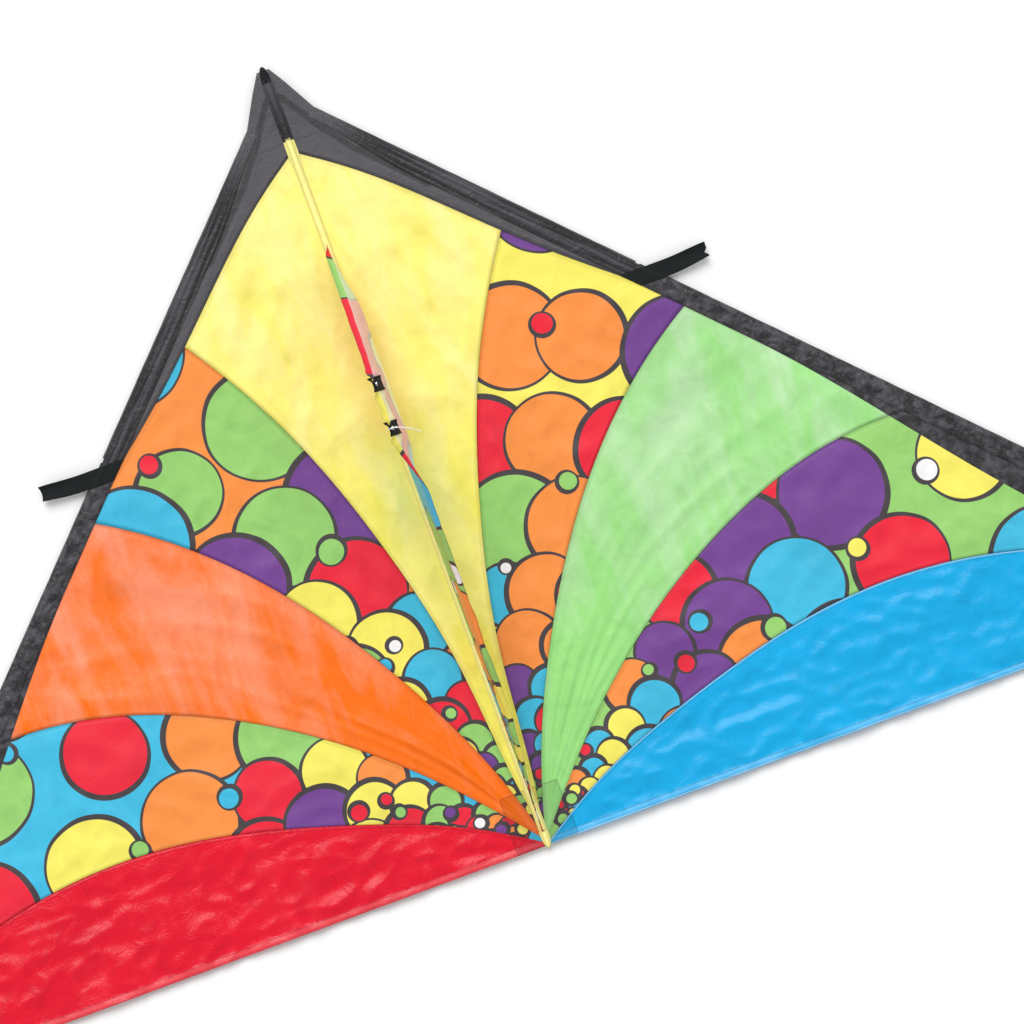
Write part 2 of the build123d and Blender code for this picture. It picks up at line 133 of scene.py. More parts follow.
def smooth_line(places, steps=40):
    """Points along the natural cubic spline through some places."""
    p = np.array(places, float)
    t = np.concatenate([[0], np.cumsum(np.linalg.norm(np.diff(p, axis=0), axis=1))])
    n, h = len(p), np.diff(t)
    matrix, right = np.eye(n), np.zeros(p.shape)
    for i in range(1, n - 1):
        matrix[i, i - 1 : i + 2] = h[i - 1], 2 * (h[i - 1] + h[i]), h[i]
        right[i] = 6 * ((p[i + 1] - p[i]) / h[i] - (p[i] - p[i - 1]) / h[i - 1])
    bend = np.linalg.solve(matrix, right)
    q = np.linspace(0, t[-1], steps * (n - 1) + 1)
    k = np.clip(np.searchsorted(t, q, side="right") - 1, 0, n - 2)
    after, before, span = (q - t[k])[:, None], (t[k + 1] - q)[:, None], h[k][:, None]
    curve = (bend[k] * before**3 + bend[k + 1] * after**3) / (6 * span)
    return curve + (p[k] / span - bend[k] * span / 6) * before + (p[k + 1] / span - bend[k + 1] * span
        / 6) * after


def line_length(line):
    """The length of a line of points."""
    return float(np.linalg.norm(np.diff(line, axis=0), axis=1).sum())


def at_fraction(line, fraction):
    """The points at some fractions of a line's length."""
    run = np.concatenate([[0], np.cumsum(np.linalg.norm(np.diff(line, axis=0), axis=1))])
    run = run / (run[-1] or 1.0)
    return np.stack([np.interp(fraction, run, line[:, k]) for k in range(line.shape[1])], axis=-1)


def cut_line(line, value):
    """The start of a line, up to where a value over its points falls below zero."""
    past = np.nonzero(value < 0)[0]
    if not len(past):
        return line
    k = past[0]
    share = value[k - 1] / (value[k - 1] - value[k])
    return np.vstack([line[:k], line[k - 1] + (line[k] - line[k - 1]) * share])


def distance_to(points, line):
    """How far each point is from a line of points."""
    flat = points.reshape(-1, 2)
    best = np.full(len(flat), np.inf)
    for a, b in zip(line[:-1], line[1:]):
        step = b - a
        share = np.clip(((flat - a) @ step) / max(step @ step, 1e-9), 0, 1)
        best = np.minimum(best, np.linalg.norm(flat - a - share[:, None] * step, axis=1))
    return best.reshape(points.shape[:-1])


def ripple(u, v, seed=1):
    """Smooth seeded noise, about -1 to 1, one wave a unit."""
    angle = np.random.default_rng(seed).uniform(0, 2 * pi, (64, 64))
    i, j = np.floor(u).astype(int), np.floor(v).astype(int)
    a, b = u - i, v - j

    def corner(di, dj):
        turn = angle[(i + di) % 64, (j + dj) % 64]
        return np.cos(turn) * (a - di) + np.sin(turn) * (b - dj)

    fade_a, fade_b = (q * q * q * (q * (q * 6 - 15) + 10) for q in (a, b))
    near = corner(0, 0) * (1 - fade_a) + corner(1, 0) * fade_a
    far = corner(0, 1) * (1 - fade_a) + corner(1, 1) * fade_a
    return 1.4 * (near * (1 - fade_b) + far * fade_b)


def ease(value, low, high):
    """0 below low, 1 above high, and smooth between."""
    share = np.clip((value - low) / (high - low), 0, 1)
    return share * share * (3 - 2 * share)


def four_sided(upper, lower, inner, outer, rows, share):
    """Points between four boundary lines. share holds each row's fractions from upper to lower."""
    s = np.linspace(0, 1, rows)[:, None] * np.ones_like(share)
    p, q = s[..., None], share[..., None]
    across = (1 - q) * at_fraction(upper, s) + q * at_fraction(lower, s)
    along = (1 - p) * at_fraction(inner, share) + p * at_fraction(outer, share)
    corners = (1 - p) * ((1 - q) * upper[0] + q * lower[0]) + p * ((1 - q) * upper[-1] + q * lower[-1])
    return across + along - corners, s


# ---- Meshes ----


def grid_piece(name, points, maps, side=0):
    """A grid laid on an array of points in millimetres, with a UV map for each named array."""
    rows, columns = points.shape[:2]
    grid = bmesh.new()
    bmesh.ops.create_grid(grid, x_segments=columns - 1, y_segments=rows - 1, size=1)
    mesh = bpy.data.meshes.new(name)
    grid.to_mesh(mesh)
    grid.free()
    place = np.empty(len(mesh.vertices) * 3)
    mesh.vertices.foreach_get("co", place)
    place = place.reshape(-1, 3)
    column = np.rint((place[:, 0] + 1) / 2 * (columns - 1)).astype(int)
    row = np.rint((place[:, 1] + 1) / 2 * (rows - 1)).astype(int)
    corner = np.empty(len(mesh.loops), int)
    mesh.loops.foreach_get("vertex_index", corner)
    mesh.vertices.foreach_set("co", (points[row, column] * MM).ravel())
    for label, array in maps.items():
        layer = mesh.uv_layers.new(name=label)
        layer.data.foreach_set("uv", (array[row[corner], column[corner]] * MM).ravel())
    if side < 0:
        mesh.flip_normals()
    mesh.update()
    return new_object(name, mesh)


def new_object(name, data):
    """Puts a mesh or a curve in the scene as an object."""
    made = bpy.data.objects.new(name, data)
    bpy.context.scene.collection.objects.link(made)
    return made


def reshape(piece, work):
    """Runs some bmesh work on a piece's mesh, and merges what has met."""
    shape = bmesh.new()
    shape.from_mesh(piece.data)
    work(shape)
    bmesh.ops.remove_doubles(shape, verts=shape.verts, dist=0.00002)
    bmesh.ops.dissolve_degenerate(shape, edges=shape.edges, dist=0.000005)
    shape.to_mesh(piece.data)
    shape.free()
    piece.data.update()


def merge_only(shape):
    """Nothing more than what reshape does at its end."""


def thicken(piece, thickness, materials, offset=-1.0):
    """Gives cloth its thickness, its finishes and smooth shading."""
    for material in materials:
        piece.data.materials.append(material)
    piece.data.polygons.foreach_set("use_smooth", [True] * len(piece.data.polygons))
    ply = piece.modifiers.new("Thickness", "SOLIDIFY")
    ply.thickness = thickness * MM
    ply.offset = offset
    ply.use_rim = True
    ply.material_offset = len(materials) - 1
    return piece


def flat_size(cut):
    """(width, length, area) in metres of a cut, in the smallest box round it."""
    a, b = cut[1:, 1:] - cut[:-1, :-1], cut[1:, :-1] - cut[:-1, 1:]
    area = float(np.abs(a[..., 0] * b[..., 1] - a[..., 1] * b[..., 0]).sum() / 2) * MM * MM
    sizes = []
    for turn in np.radians(np.arange(0, 90, 0.25)):
        c, s = cos(turn), sin(turn)
        u, v = cut[..., 0] * c + cut[..., 1] * s, cut[..., 1] * c - cut[..., 0] * s
        sizes.append((np.ptp(u) * MM, np.ptp(v) * MM))
    width, length = min(sizes, key=lambda size: size[0] * size[1])
    return float(width), float(length), area


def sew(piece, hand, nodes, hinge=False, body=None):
    """Hides the CAD parts that a wing's piece replaces and puts the piece on its body; a piece on a hinge has its
    place baked into its mesh instead.
    """
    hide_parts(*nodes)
    body = body or f"wing_{hand}"
    if hinge:
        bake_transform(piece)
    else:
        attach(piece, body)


# ---- Node trees ----


class Tree:
    """Adds nodes to one node tree, by type and named inputs."""

    def __init__(self, tree):
        self.tree = tree

    def plug(self, socket, value):
        if isinstance(value, bpy.types.NodeSocket):
            self.tree.links.new(value, socket)
        else:
            socket.default_value = value

    def add(self, kind, inputs=None, **settings):
        node = self.tree.nodes.new("ShaderNode" + kind)
        for label, value in settings.items():
            setattr(node, label, value)
        for label, value in (inputs or {}).items():
            self.plug(node.inputs[label], value)
        return node

    def math(self, operation, *values, clamp=False):
        node = self.add("Math", operation=operation, use_clamp=clamp)
        for socket, value in zip(node.inputs, values):
            self.plug(socket, value)
        return node.outputs[0]

    def vector(self, operation, *values):
        node = self.add("VectorMath", operation=operation)
        for socket, value in zip(node.inputs, values):
            self.plug(socket, value)
        return node.outputs["Value" if operation in ("LENGTH", "DISTANCE", "DOT_PRODUCT") else "Vector"]

    def mix(self, factor, below, above, blend="MIX"):
        node = self.add("Mix", data_type="RGBA", blend_type=blend, clamp_factor=True)
        for socket, value in zip((node.inputs[0], node.inputs[6], node.inputs[7]), (factor, below, above)):
            self.plug(socket, value)
        return node.outputs[2]

    def band(self, value, low, high, start=0.0, end=1.0):
        node = self.add(
            "MapRange",
            {"Value": value, "From Min": low, "From Max": high, "To Min": start, "To Max": end},
            interpolation_type="SMOOTHSTEP",
        )
        return node.outputs[0]

    def noise(self, place, scale, detail=2.0, roughness=0.5, distortion=0.0):
        inputs = {"Vector": place, "Scale": scale, "Detail": detail, "Roughness": roughness,
            "Distortion": distortion}
        return self.add("TexNoise", inputs).outputs[0]

    def group(self, tree, inputs):
        node = self.tree.nodes.new("ShaderNodeGroup")
        node.node_tree = tree
        for label, value in inputs.items():
            self.plug(node.inputs[label], value)
        return node.outputs


def new_group(name, inputs, outputs):
    """A shader node group, as its tree, its inner inputs and its inner outputs."""
    made = bpy.data.node_groups.new(name, "ShaderNodeTree")
    for label, kind, default in inputs:
        socket = made.interface.new_socket(label, in_out="INPUT", socket_type=f"NodeSocket{kind}")
        socket.default_value = default
    for label, kind in outputs:
        made.interface.new_socket(label, in_out="OUTPUT", socket_type=f"NodeSocket{kind}")
    begin, end = made.nodes.new("NodeGroupInput"), made.nodes.new("NodeGroupOutput")
    return made, Tree(made), begin.outputs, end.inputs


GROUPS = {}


def make_relief_group():
    """Woven nylon: fine threads, a ripstop grid, and crumples of two sizes, with a painted shade that follows the
    crumples.
    """
    inputs = [
        ("Place", "Vector", (0, 0, 0)),
        ("Crumple size", "Float", 0.03),
        ("Crumple depth", "Float", 0.0006),
        ("Seed", "Float", 0.0),
    ]
    made, tree, given, out = new_group("Cloth relief", inputs, [("Height", "Float"), ("Painted shade", "Float")])
    split = tree.add("SeparateXYZ", {"Vector": given["Place"]})
    threads = []
    for axis in ("X", "Y"):
        fine = tree.math("SINE", tree.math("MULTIPLY", split.outputs[axis], 2 * pi / 0.0011))
        cell = tree.math("PINGPONG", split.outputs[axis], 0.0028)
        rib = tree.band(cell, 0.0, 0.0005, 1.0, 0.0)
        threads.append(tree.math("MULTIPLY_ADD", rib, 0.00006, tree.math("MULTIPLY", fine, 0.00001)))
    weave = tree.math("ADD", *threads)
    shifted = tree.vector("ADD", given["Place"], tree.add("CombineXYZ", {"Z": given["Seed"]}).outputs[0])
    pace = tree.math("DIVIDE", 1.0, given["Crumple size"])
    broad = tree.noise(shifted, pace, 3.0, 0.55, 0.6)
    creased = tree.math("ABSOLUTE", tree.math("SUBTRACT", broad, 0.5))
    small = tree.noise(shifted, tree.math("MULTIPLY", pace, 3.1), 2.0, 0.5, 0.9)
    pinch = tree.math("ABSOLUTE", tree.math("SUBTRACT", small, 0.5))
    crumple = tree.math("ADD", tree.math("MULTIPLY", creased, 4.0), tree.math("MULTIPLY", pinch, 1.1))
    tree.plug(out["Height"], tree.math("MULTIPLY_ADD", crumple, given["Crumple depth"], weave))
    # Painted shade that follows the crumples: darker on the raised crumples, a little lighter along the crease
    # lines; it also sets the roughness.
    tree.plug(out["Painted shade"], tree.math("MULTIPLY_ADD", creased, -0.5, 1.04))
    return made


def make_fade_group():
    """The uneven tone of dyed cloth: slow drifts and fine slubs along the threads."""
    inputs = [
        ("Color", "Color", (1, 1, 1, 1)),
        ("Place", "Vector", (0, 0, 0)),
        ("Amount", "Float", 0.1),
    ]
    made, tree, given, out = new_group("Dyed cloth", inputs, [("Color", "Color")])
    slow = tree.noise(given["Place"], 5.0, 2.0)
    stretched = tree.add("Mapping", {"Vector": given["Place"], "Scale": (60.0, 900.0, 1.0)}).outputs[0]
    slub = tree.noise(stretched, 1.0, 2.0)
    both = tree.math("ADD", tree.math("MULTIPLY", slow, 1.5), tree.math("MULTIPLY", slub, 0.5))
    gain = tree.math("MULTIPLY_ADD", tree.math("SUBTRACT", both, 1.0), given["Amount"], 1.0)
    shaded = tree.add("HueSaturation", {"Color": given["Color"], "Value": gain})
    tree.plug(out["Color"], shaded.outputs[0])
    return made


def make_stitch_group():
    """One row of stitches beside a seam. Seam holds (along, distance from the seam)."""
    inputs = [
        ("Seam", "Vector", (0, 0, 0)),
        ("Distance", "Float", 0.0018),
        ("Thread", "Float", 0.0007),
        ("Stitch", "Float", 0.0034),
    ]
    made, tree, given, out = new_group("Stitch row", inputs, [("Mask", "Float"), ("Height", "Float")])
    split = tree.add("SeparateXYZ", {"Vector": given["Seam"]})
    off = tree.math("ABSOLUTE", tree.math("SUBTRACT", split.outputs["Y"], given["Distance"]))
    line = tree.band(off, tree.math("MULTIPLY", given["Thread"], 0.4), given["Thread"], 1.0, 0.0)
    cell = tree.math("FRACT", tree.math("DIVIDE", split.outputs["X"], given["Stitch"]))
    dash = tree.band(tree.math("ABSOLUTE", tree.math("SUBTRACT", cell, 0.5)), 0.32, 0.42, 1.0, 0.0)
    tree.plug(out["Mask"], tree.math("MULTIPLY", line, dash))
    hole = tree.math("MULTIPLY", line, tree.math("SUBTRACT", 1.0, dash))
    rise = tree.math("SUBTRACT", tree.math("MULTIPLY", line, dash), tree.math("MULTIPLY", hole, 0.8))
    tree.plug(out["Height"], tree.math("MULTIPLY", rise, 0.0002))
    return made


def make_disc_group():
    """One printed disc: an ink outline, thicker on the side that its fill is shifted from."""
    inputs = [
        ("Color", "Color", (1, 1, 1, 1)),
        ("Place", "Vector", (0, 0, 0)),
        ("Centre", "Vector", (0, 0, 0)),
        ("Radius", "Float", 0.05),
        ("Line", "Float", 0.003),
        ("Shift", "Vector", (0, 0, 0)),
        ("Fill", "Color", (1, 1, 1, 1)),
        ("Ink", "Color", (0.055, 0.045, 0.05, 1)),
    ]
    made, tree, given, out = new_group("Print disc", inputs, [("Color", "Color")])
    blur = 0.0005
    rim = tree.vector("DISTANCE", given["Place"], given["Centre"])
    reach = tree.math("ADD", given["Radius"], given["Line"])
    inked = tree.band(tree.math("SUBTRACT", rim, reach), -blur, blur, 1.0, 0.0)
    inner = tree.vector("DISTANCE", given["Place"], tree.vector("ADD", given["Centre"], given["Shift"]))
    filled = tree.band(tree.math("SUBTRACT", inner, given["Radius"]), -blur, blur, 1.0, 0.0)
    outlined = tree.mix(inked, given["Color"], given["Ink"])
    tree.plug(out["Color"], tree.mix(filled, outlined, given["Fill"]))
    return made


def make_webbing_group():
    """Flat woven webbing: rows of slanting threads in ribs along its length, with painted shade in the hollows of
    the weave.
    """
    inputs = [("Place", "Vector", (0, 0, 0)), ("Pitch", "Float", 0.0022)]
    made, tree, given, out = new_group("Webbing weave", inputs, [("Height", "Float"), ("Painted shade", "Float")])
    split = tree.add("SeparateXYZ", {"Vector": given["Place"]})
    along = tree.math("DIVIDE", split.outputs["X"], given["Pitch"])
    across = tree.math("DIVIDE", split.outputs["Y"], given["Pitch"])
    chevron = tree.math("PINGPONG", across, 1.0)
    twill = tree.math("SINE", tree.math("MULTIPLY", tree.math("ADD", along, chevron), 2 * pi))
    rib = tree.math("SINE", tree.math("MULTIPLY", across, 2 * pi))
    weave = tree.math("MULTIPLY_ADD", twill, 0.6, tree.math("MULTIPLY", rib, 0.4))
    tree.plug(out["Height"], tree.math("MULTIPLY", weave, 0.00022))
    # Painted shade: darker in the hollows of the weave, lighter on its raised threads; it also sets the roughness.
    tree.plug(out["Painted shade"], tree.math("MULTIPLY_ADD", weave, 0.16, 1.0))
    return made


def make_wear_group():
    """Scuffs on hard parts: a mask of fine scratches and a slow change of roughness."""
    inputs = [("Place", "Vector", (0, 0, 0)), ("Grain", "Vector", (1, 1, 1)), ("Scale", "Float", 300.0)]
    made, tree, given, out = new_group("Handling wear", inputs, [("Scuff", "Float"), ("Drift", "Float")])
    stretched = tree.add("Mapping", {"Vector": given["Place"], "Scale": given["Grain"]}).outputs[0]
    scratch = tree.noise(stretched, given["Scale"], 4.0, 0.7)
    tree.plug(out["Scuff"], tree.band(scratch, 0.55, 0.75))
    tree.plug(out["Drift"], tree.noise(given["Place"], 25.0, 3.0))
    return made


# ---- Materials ----


def linear(red, green, blue):
    """A colour from its 0-255 screen values."""
    channels = [value / 255 for value in (red, green, blue)]
    return tuple(c / 12.92 if c <= 0.04045 else ((c + 0.055) / 1.055) ** 2.4 for c in channels) + (1.0,)


PRINT = {
    "y": linear(240, 229, 98),
    "g": linear(146, 201, 108),
    "o": linear(241, 141, 64),
    "r": linear(230, 32, 56),
    "b": linear(60, 182, 218),
    "p": linear(112, 64, 142),
    "w": linear(238, 236, 238),
}


def print_colour(tree, place, base, discs):
    """The colour of a print of outlined discs, from the lowest disc to the top one."""
    wander = tree.vector("SUBTRACT", tree.add("TexNoise", {"Vector": place, "Scale": 11.0,
        "Detail": 1.0}).outputs["Color"], (0.5, 0.5, 0.5))
    drawn = tree.vector("ADD", place, tree.vector("MULTIPLY", wander, (0.006, 0.006, 0.0)))
    drawn = tree.vector("MULTIPLY", drawn, (1.0, 1.0, 0.0))
    colour = PRINT[base]
    for number, (out, down, radius, fill) in enumerate(discs):
        turn = number * 2.4
        line = 5.6 + 0.022 * radius
        colour = tree.group(
            GROUPS["disc"],
            {
                "Color": colour,
                "Place": drawn,
                "Centre": (out * MM, down * MM, 0),
                "Radius": radius * MM,
                "Line": line * MM,
                "Shift": (cos(turn) * line * 0.45 * MM, sin(turn) * line * 0.45 * MM, 0),
                "Fill": PRINT[fill],
            },
        )["Color"]
    return colour


def start_material(name):
    """A new material, as the material, its tree and its Principled shader."""
    material = bpy.data.materials.new(name)
    material.use_nodes = True
    shader = next(node for node in material.node_tree.nodes if node.type == "BSDF_PRINCIPLED")
    return material, Tree(material.node_tree), shader


def bump(tree, height, distance=1.0, strength=1.0):
    """The normal of a height in metres."""
    return tree.add("Bump", {"Height": height, "Distance": distance, "Strength": strength}).outputs[0]


FLARE_RUN = (0.85, 1.5)  # where the black edge widens, along the leading edge
FLARE_WIDTH = (0.035, 0.077)


def painted_crumple_sheen(tree, place):
    """Painted shade in the hollows and painted highlights on the creases of the sleeves' thin black cloth, as a
    noise.
    """
    return tree.noise(place, 50.0, 4.0, 0.58, 0.8)


def cloth_material(name, colour, crumple=(0.03, 0.0005), gloss=0.42, discs=None, base="y", pale=0.0,
        thread=None, rows=(1.8,), hem=0.0, patches=(), deepen=0.0, double_tone=0.14, start=None, dim=0.1,
        crumple_sheen_from=None, edging=None):
    """Nylon cloth on the UV maps Cut and Seam, plain or printed, with its rows of stitches."""
    material, tree, shader = start_material(name)
    place = tree.add("UVMap", uv_map="Cut").outputs[0]
    seam = tree.add("UVMap", uv_map="Seam").outputs[0]
    seed = sum(ord(letter) for letter in name) % 17
    if discs is not None:
        colour = print_colour(tree, place, base, discs)
    if crumple_sheen_from is not None:
        # Painted sheen on the sleeves: bright and dark lengthwise ridges before the spreader, and painted
        # highlights and shade on the crumples past it, set into the colour's brightness.
        run = tree.add("SeparateXYZ", {"Vector": place}).outputs["X"]
        ridge_sheen = tree.noise(tree.vector("MULTIPLY", place, (5.0, 130.0, 0.0)), 1.0, 2.0, 0.5, 0.5)
        crumples = painted_crumple_sheen(tree, place)
        kind = tree.band(run, crumple_sheen_from - 0.04, crumple_sheen_from + 0.04)
        tone = tree.math("ADD", tree.math("MULTIPLY", kind, crumples),
            tree.math("MULTIPLY", tree.math("SUBTRACT", 1.0, kind), ridge_sheen))
        colour = tree.add("HueSaturation", {"Color": colour,
            "Value": tree.band(tone, 0.36, 0.68, 0.4, 1.75)}).outputs[0]
    if start is not None:
        colour = tree.mix(tree.band(tree.add("SeparateXYZ", {"Vector": place}).outputs["X"], 0.0, 0.13),
            start, colour)
    if pale:
        colour = tree.mix(pale, colour, (0.92, 0.92, 0.9, 1.0))
    colour = tree.group(GROUPS["fade"], {"Color": colour, "Place": place, "Amount": 0.13})["Color"]
    if deepen:
        # Richer, darker colour towards the base and in lengthwise streaks, partly the cloth's own uneven colour and
        # partly painted gloss; on the red tail panel the streaks stand for painted gloss patches.
        low = tree.band(tree.add("SeparateXYZ", {"Vector": place}).outputs["Y"], 0.75, 1.35, 0.0, 0.7)
        tone_and_gloss_streaks = tree.noise(tree.vector("MULTIPLY", place, (15.0, 4.0, 0.0)), 1.0, 6.0, 0.6, 0.7)
        rich = tree.add("HueSaturation", {"Color": colour, "Saturation": 1.0 + deepen,
            "Value": 1.0 - dim}).outputs[0]
        colour = tree.mix(tree.math("ADD", low, tree.band(tone_and_gloss_streaks, 0.3, 0.75), clamp=True), colour, rich)
    if hem:
        edge = tree.math("SUBTRACT", TRAIL * MM, tree.add("SeparateXYZ", {"Vector": place}).outputs["Y"])
        strip = tree.band(edge, hem - 0.0006, hem + 0.0002, 1.0, 0.0)
        pale_strip = tree.add("HueSaturation", {"Color": colour, "Saturation": 0.86,
            "Value": 1.12}).outputs[0]
        colour = tree.mix(tree.math("MULTIPLY", strip, 0.4), colour, pale_strip)
        sewn = tree.band(tree.math("ABSOLUTE", tree.math("SUBTRACT", edge, hem)), 0.0003, 0.0012, 1.0, 0.0)
        colour = tree.mix(tree.math("MULTIPLY", sewn, 0.55), colour, (0.2, 0.2, 0.2, 1.0), "MULTIPLY")
    flare = 0.0
    if edging is not None:
        corner = Vector((SHOULDER[0], SHOULDER[1], 0.0)) * MM
        along_edge, from_edge = Vector((EDGE_OUT, EDGE_DOWN, 0.0)), Vector((-EDGE_DOWN, EDGE_OUT, 0.0))
        along = tree.math("SUBTRACT", tree.vector("DOT_PRODUCT", place, tuple(along_edge)),
            corner.dot(along_edge))
        inward = tree.math("SUBTRACT", tree.vector("DOT_PRODUCT", place, tuple(from_edge)),
            corner.dot(from_edge))
        reach = tree.band(along, *FLARE_RUN, *FLARE_WIDTH)
        flare = tree.band(tree.math("SUBTRACT", inward, reach), -0.0003, 0.0003, 1.0, 0.0)
        # The black hem allowance gets the same painted shade and highlights as the sleeves, in its brightness.
        black = tree.add("HueSaturation", {"Color": edging, "Value": tree.band(painted_crumple_sheen(tree, place),
            0.36, 0.68, 0.4, 1.75)}).outputs[0]
        colour = tree.mix(flare, colour, black)
    relief = tree.group(
        GROUPS["relief"],
        {"Place": place, "Crumple size": crumple[0], "Crumple depth": crumple[1], "Seed": float(seed)},
    )
    # Painted shade of the crumples, multiplied into the cloth's colour.
    colour = tree.mix(1.0, colour, relief["Painted shade"], "MULTIPLY")
    height = tree.math("MULTIPLY_ADD", flare, 0.0004, relief["Height"])
    distance = tree.add("SeparateXYZ", {"Vector": seam}).outputs["Y"]
    ply = tree.band(distance, 0.0, 0.0006, 0.0, 1.0)
    double = tree.band(distance, 0.0056, 0.0068, 1.0, 0.0)
    colour = tree.mix(tree.math("MULTIPLY", double, double_tone), colour, (0.12, 0.1, 0.1, 1.0), "MULTIPLY")
    height = tree.math("MULTIPLY_ADD", double, 0.00022, height)
    colour = tree.mix(tree.math("MULTIPLY_ADD", ply, -0.45, 0.45), colour, (0.05, 0.05, 0.05, 1.0),
        "MULTIPLY")
    for places, strength in patches:
        inside = 1.0
        for (a_out, a_down), (b_out, b_down) in zip(places, places[1:] + places[:1]):
            run = hypot(b_out - a_out, b_down - a_down)
            across = ((a_down - b_down) / run, (b_out - a_out) / run, 0.0)
            offset = (a_out * across[0] + a_down * across[1]) * MM
            near = tree.math("SUBTRACT", tree.vector("DOT_PRODUCT", place, across), offset)
            inside = tree.math("MINIMUM", inside, near)
        shade = tree.band(inside, 0.0, 0.0008, 0.0, strength)
        colour = tree.mix(shade, colour, (0.3, 0.3, 0.3, 1.0), "MULTIPLY")
        line = tree.math("ABSOLUTE", tree.math("SUBTRACT", inside, 0.0025))
        sewn = tree.band(line, 0.0003, 0.0008, 1.0, 0.0)
        colour = tree.mix(tree.math("MULTIPLY", sewn, 0.5), colour, (0.3, 0.3, 0.3, 1.0), "MULTIPLY")
        height = tree.math("MULTIPLY_ADD", tree.band(inside, 0.0, 0.001), 0.0003, height)
    for row in rows:
        stitch = tree.group(GROUPS["stitch"], {"Seam": seam, "Distance": row * MM})
        if thread is not None:
            colour = tree.mix(tree.math("MULTIPLY", stitch["Mask"], 0.8), colour, thread)
        height = tree.math("ADD", height, stitch["Height"])
    tree.plug(shader.inputs["Base Color"], colour)
    tree.plug(shader.inputs["Roughness"], tree.math("MULTIPLY_ADD", relief["Painted shade"], -0.25, gloss + 0.25))
    tree.plug(shader.inputs["Normal"], bump(tree, height))
    shader.inputs["Specular IOR Level"].default_value = 0.3
    return material


def webbing_material(name, colour):
    """Woven polyester webbing on the UV map Cut."""
    material, tree, shader = start_material(name)
    place = tree.add("UVMap", uv_map="Cut").outputs[0]
    weave = tree.group(GROUPS["webbing"], {"Place": place})
    # Painted shade of the weave, multiplied into the webbing's colour.
    toned = tree.mix(1.0, colour, weave["Painted shade"], "MULTIPLY")
    toned = tree.group(GROUPS["fade"], {"Color": toned, "Place": place, "Amount": 0.3})["Color"]
    seam = tree.add("UVMap", uv_map="Seam").outputs[0]
    stitch = tree.group(GROUPS["stitch"], {"Seam": seam, "Distance": 0.003, "Thread": 0.0009})
    toned = tree.mix(tree.math("MULTIPLY", stitch["Mask"], 0.5), toned, (0.05, 0.05, 0.055, 1.0))
    tree.plug(shader.inputs["Base Color"], toned)
    tree.plug(shader.inputs["Normal"], bump(tree, tree.math("ADD", weave["Height"], stitch["Height"])))
    tree.plug(shader.inputs["Roughness"], tree.math("MULTIPLY_ADD", weave["Painted shade"], -0.2, 0.85))
    shader.inputs["Specular IOR Level"].default_value = 0.2
    return material


def hard_material(name, colour, roughness, metallic=0.0, grain=(1, 1, 1), scale=300.0, coat=0.0,
        depth=0.00003):
    """A rod, ferrule, cap, fitting or eyelet, with scuffs along its grain."""
    material, tree, shader = start_material(name)
    place = tree.add("TexCoord").outputs["Object"]
    wear = tree.group(GROUPS["wear"], {"Place": place, "Grain": grain, "Scale": scale})
    lighter = tuple(min(1.0, channel * 1.6 + 0.03) for channel in colour[:3]) + (1.0,)
    tree.plug(shader.inputs["Base Color"], tree.mix(tree.math("MULTIPLY", wear["Scuff"], 0.5), colour,
        lighter))
    rough = tree.math("MULTIPLY_ADD", wear["Drift"], 0.25, roughness - 0.12)
    tree.plug(shader.inputs["Roughness"], tree.math("MULTIPLY_ADD", wear["Scuff"], 0.15, rough))
    tree.plug(shader.inputs["Normal"], bump(tree, tree.math("MULTIPLY", wear["Scuff"], depth)))
    shader.inputs["Metallic"].default_value = metallic
    shader.inputs["Coat Weight"].default_value = coat
    return material


def string_material():
    """Twisted white line."""
    material, tree, shader = start_material("String twist")
    place = tree.add("TexCoord").outputs["Object"]
    strands = tree.add("TexWave", {"Vector": place, "Scale": 420.0, "Distortion": 0.6, "Detail": 1.0},
        bands_direction="DIAGONAL")
    # Painted shade in the grooves of the twist: grey between the strands, white on them.
    tone = tree.band(strands.outputs["Fac"], 0.0, 0.6, 0.55, 1.0)
    tree.plug(shader.inputs["Base Color"], tree.mix(tone, (0.45, 0.44, 0.42, 1), (0.92, 0.92, 0.9, 1)))
    tree.plug(shader.inputs["Normal"], bump(tree, tree.math("MULTIPLY", strands.outputs["Fac"], 0.0003)))
    tree.plug(shader.inputs["Roughness"], tree.math("MULTIPLY_ADD", tone, -0.2, 0.85))
    return material


# ---- The prints: discs as (out, down, radius, colour), the lowest first ----

PRINT_BASE = 1440.0  # down from the nose, where the printed panels come together
DISC_SHARE = 0.15  # a disc's radius, as a share of its distance from there
DISC_MOST = 88.0
ROW_STEP = 0.79


def disc_print(seed, ground, first, last, reach, across, keel=False):
    """A ground colour and seeded discs between two angles from the spine, each (out, down, radius, colour)."""
    draws = Random(seed)
    colours = [colour for colour in "goyrbp" if colour != ground]
    large, small = [], []
    distance, row = reach, 0
    while distance > 45:
        for step in range(across):
            share = (step + 0.5 + 0.5 * (row % 2 - 0.5) + draws.uniform(-0.15, 0.15)) / across
            angle = radians(first + (last - first) * share)
            radius = min(DISC_SHARE * distance, DISC_MOST) * draws.uniform(0.8, 1.15)
            out, up = distance * sin(angle), distance * cos(angle)
            centre = (PRINT_BASE - up, out) if keel else (out, PRINT_BASE - up)
            colour = draws.choice(colours)
            large.append((*centre, radius, colour))
            turn = draws.uniform(0, 2 * pi)
            spot = (centre[0] + 0.95 * radius * cos(turn), centre[1] + 0.95 * radius * sin(turn))
            small.append((*spot, max(9.0, radius * draws.uniform(0.16, 0.26)),
                draws.choice([c for c in "gyrbpw" if c != colour])))
        distance *= ROW_STEP
        row += 1
    return ground, large + small[::2]


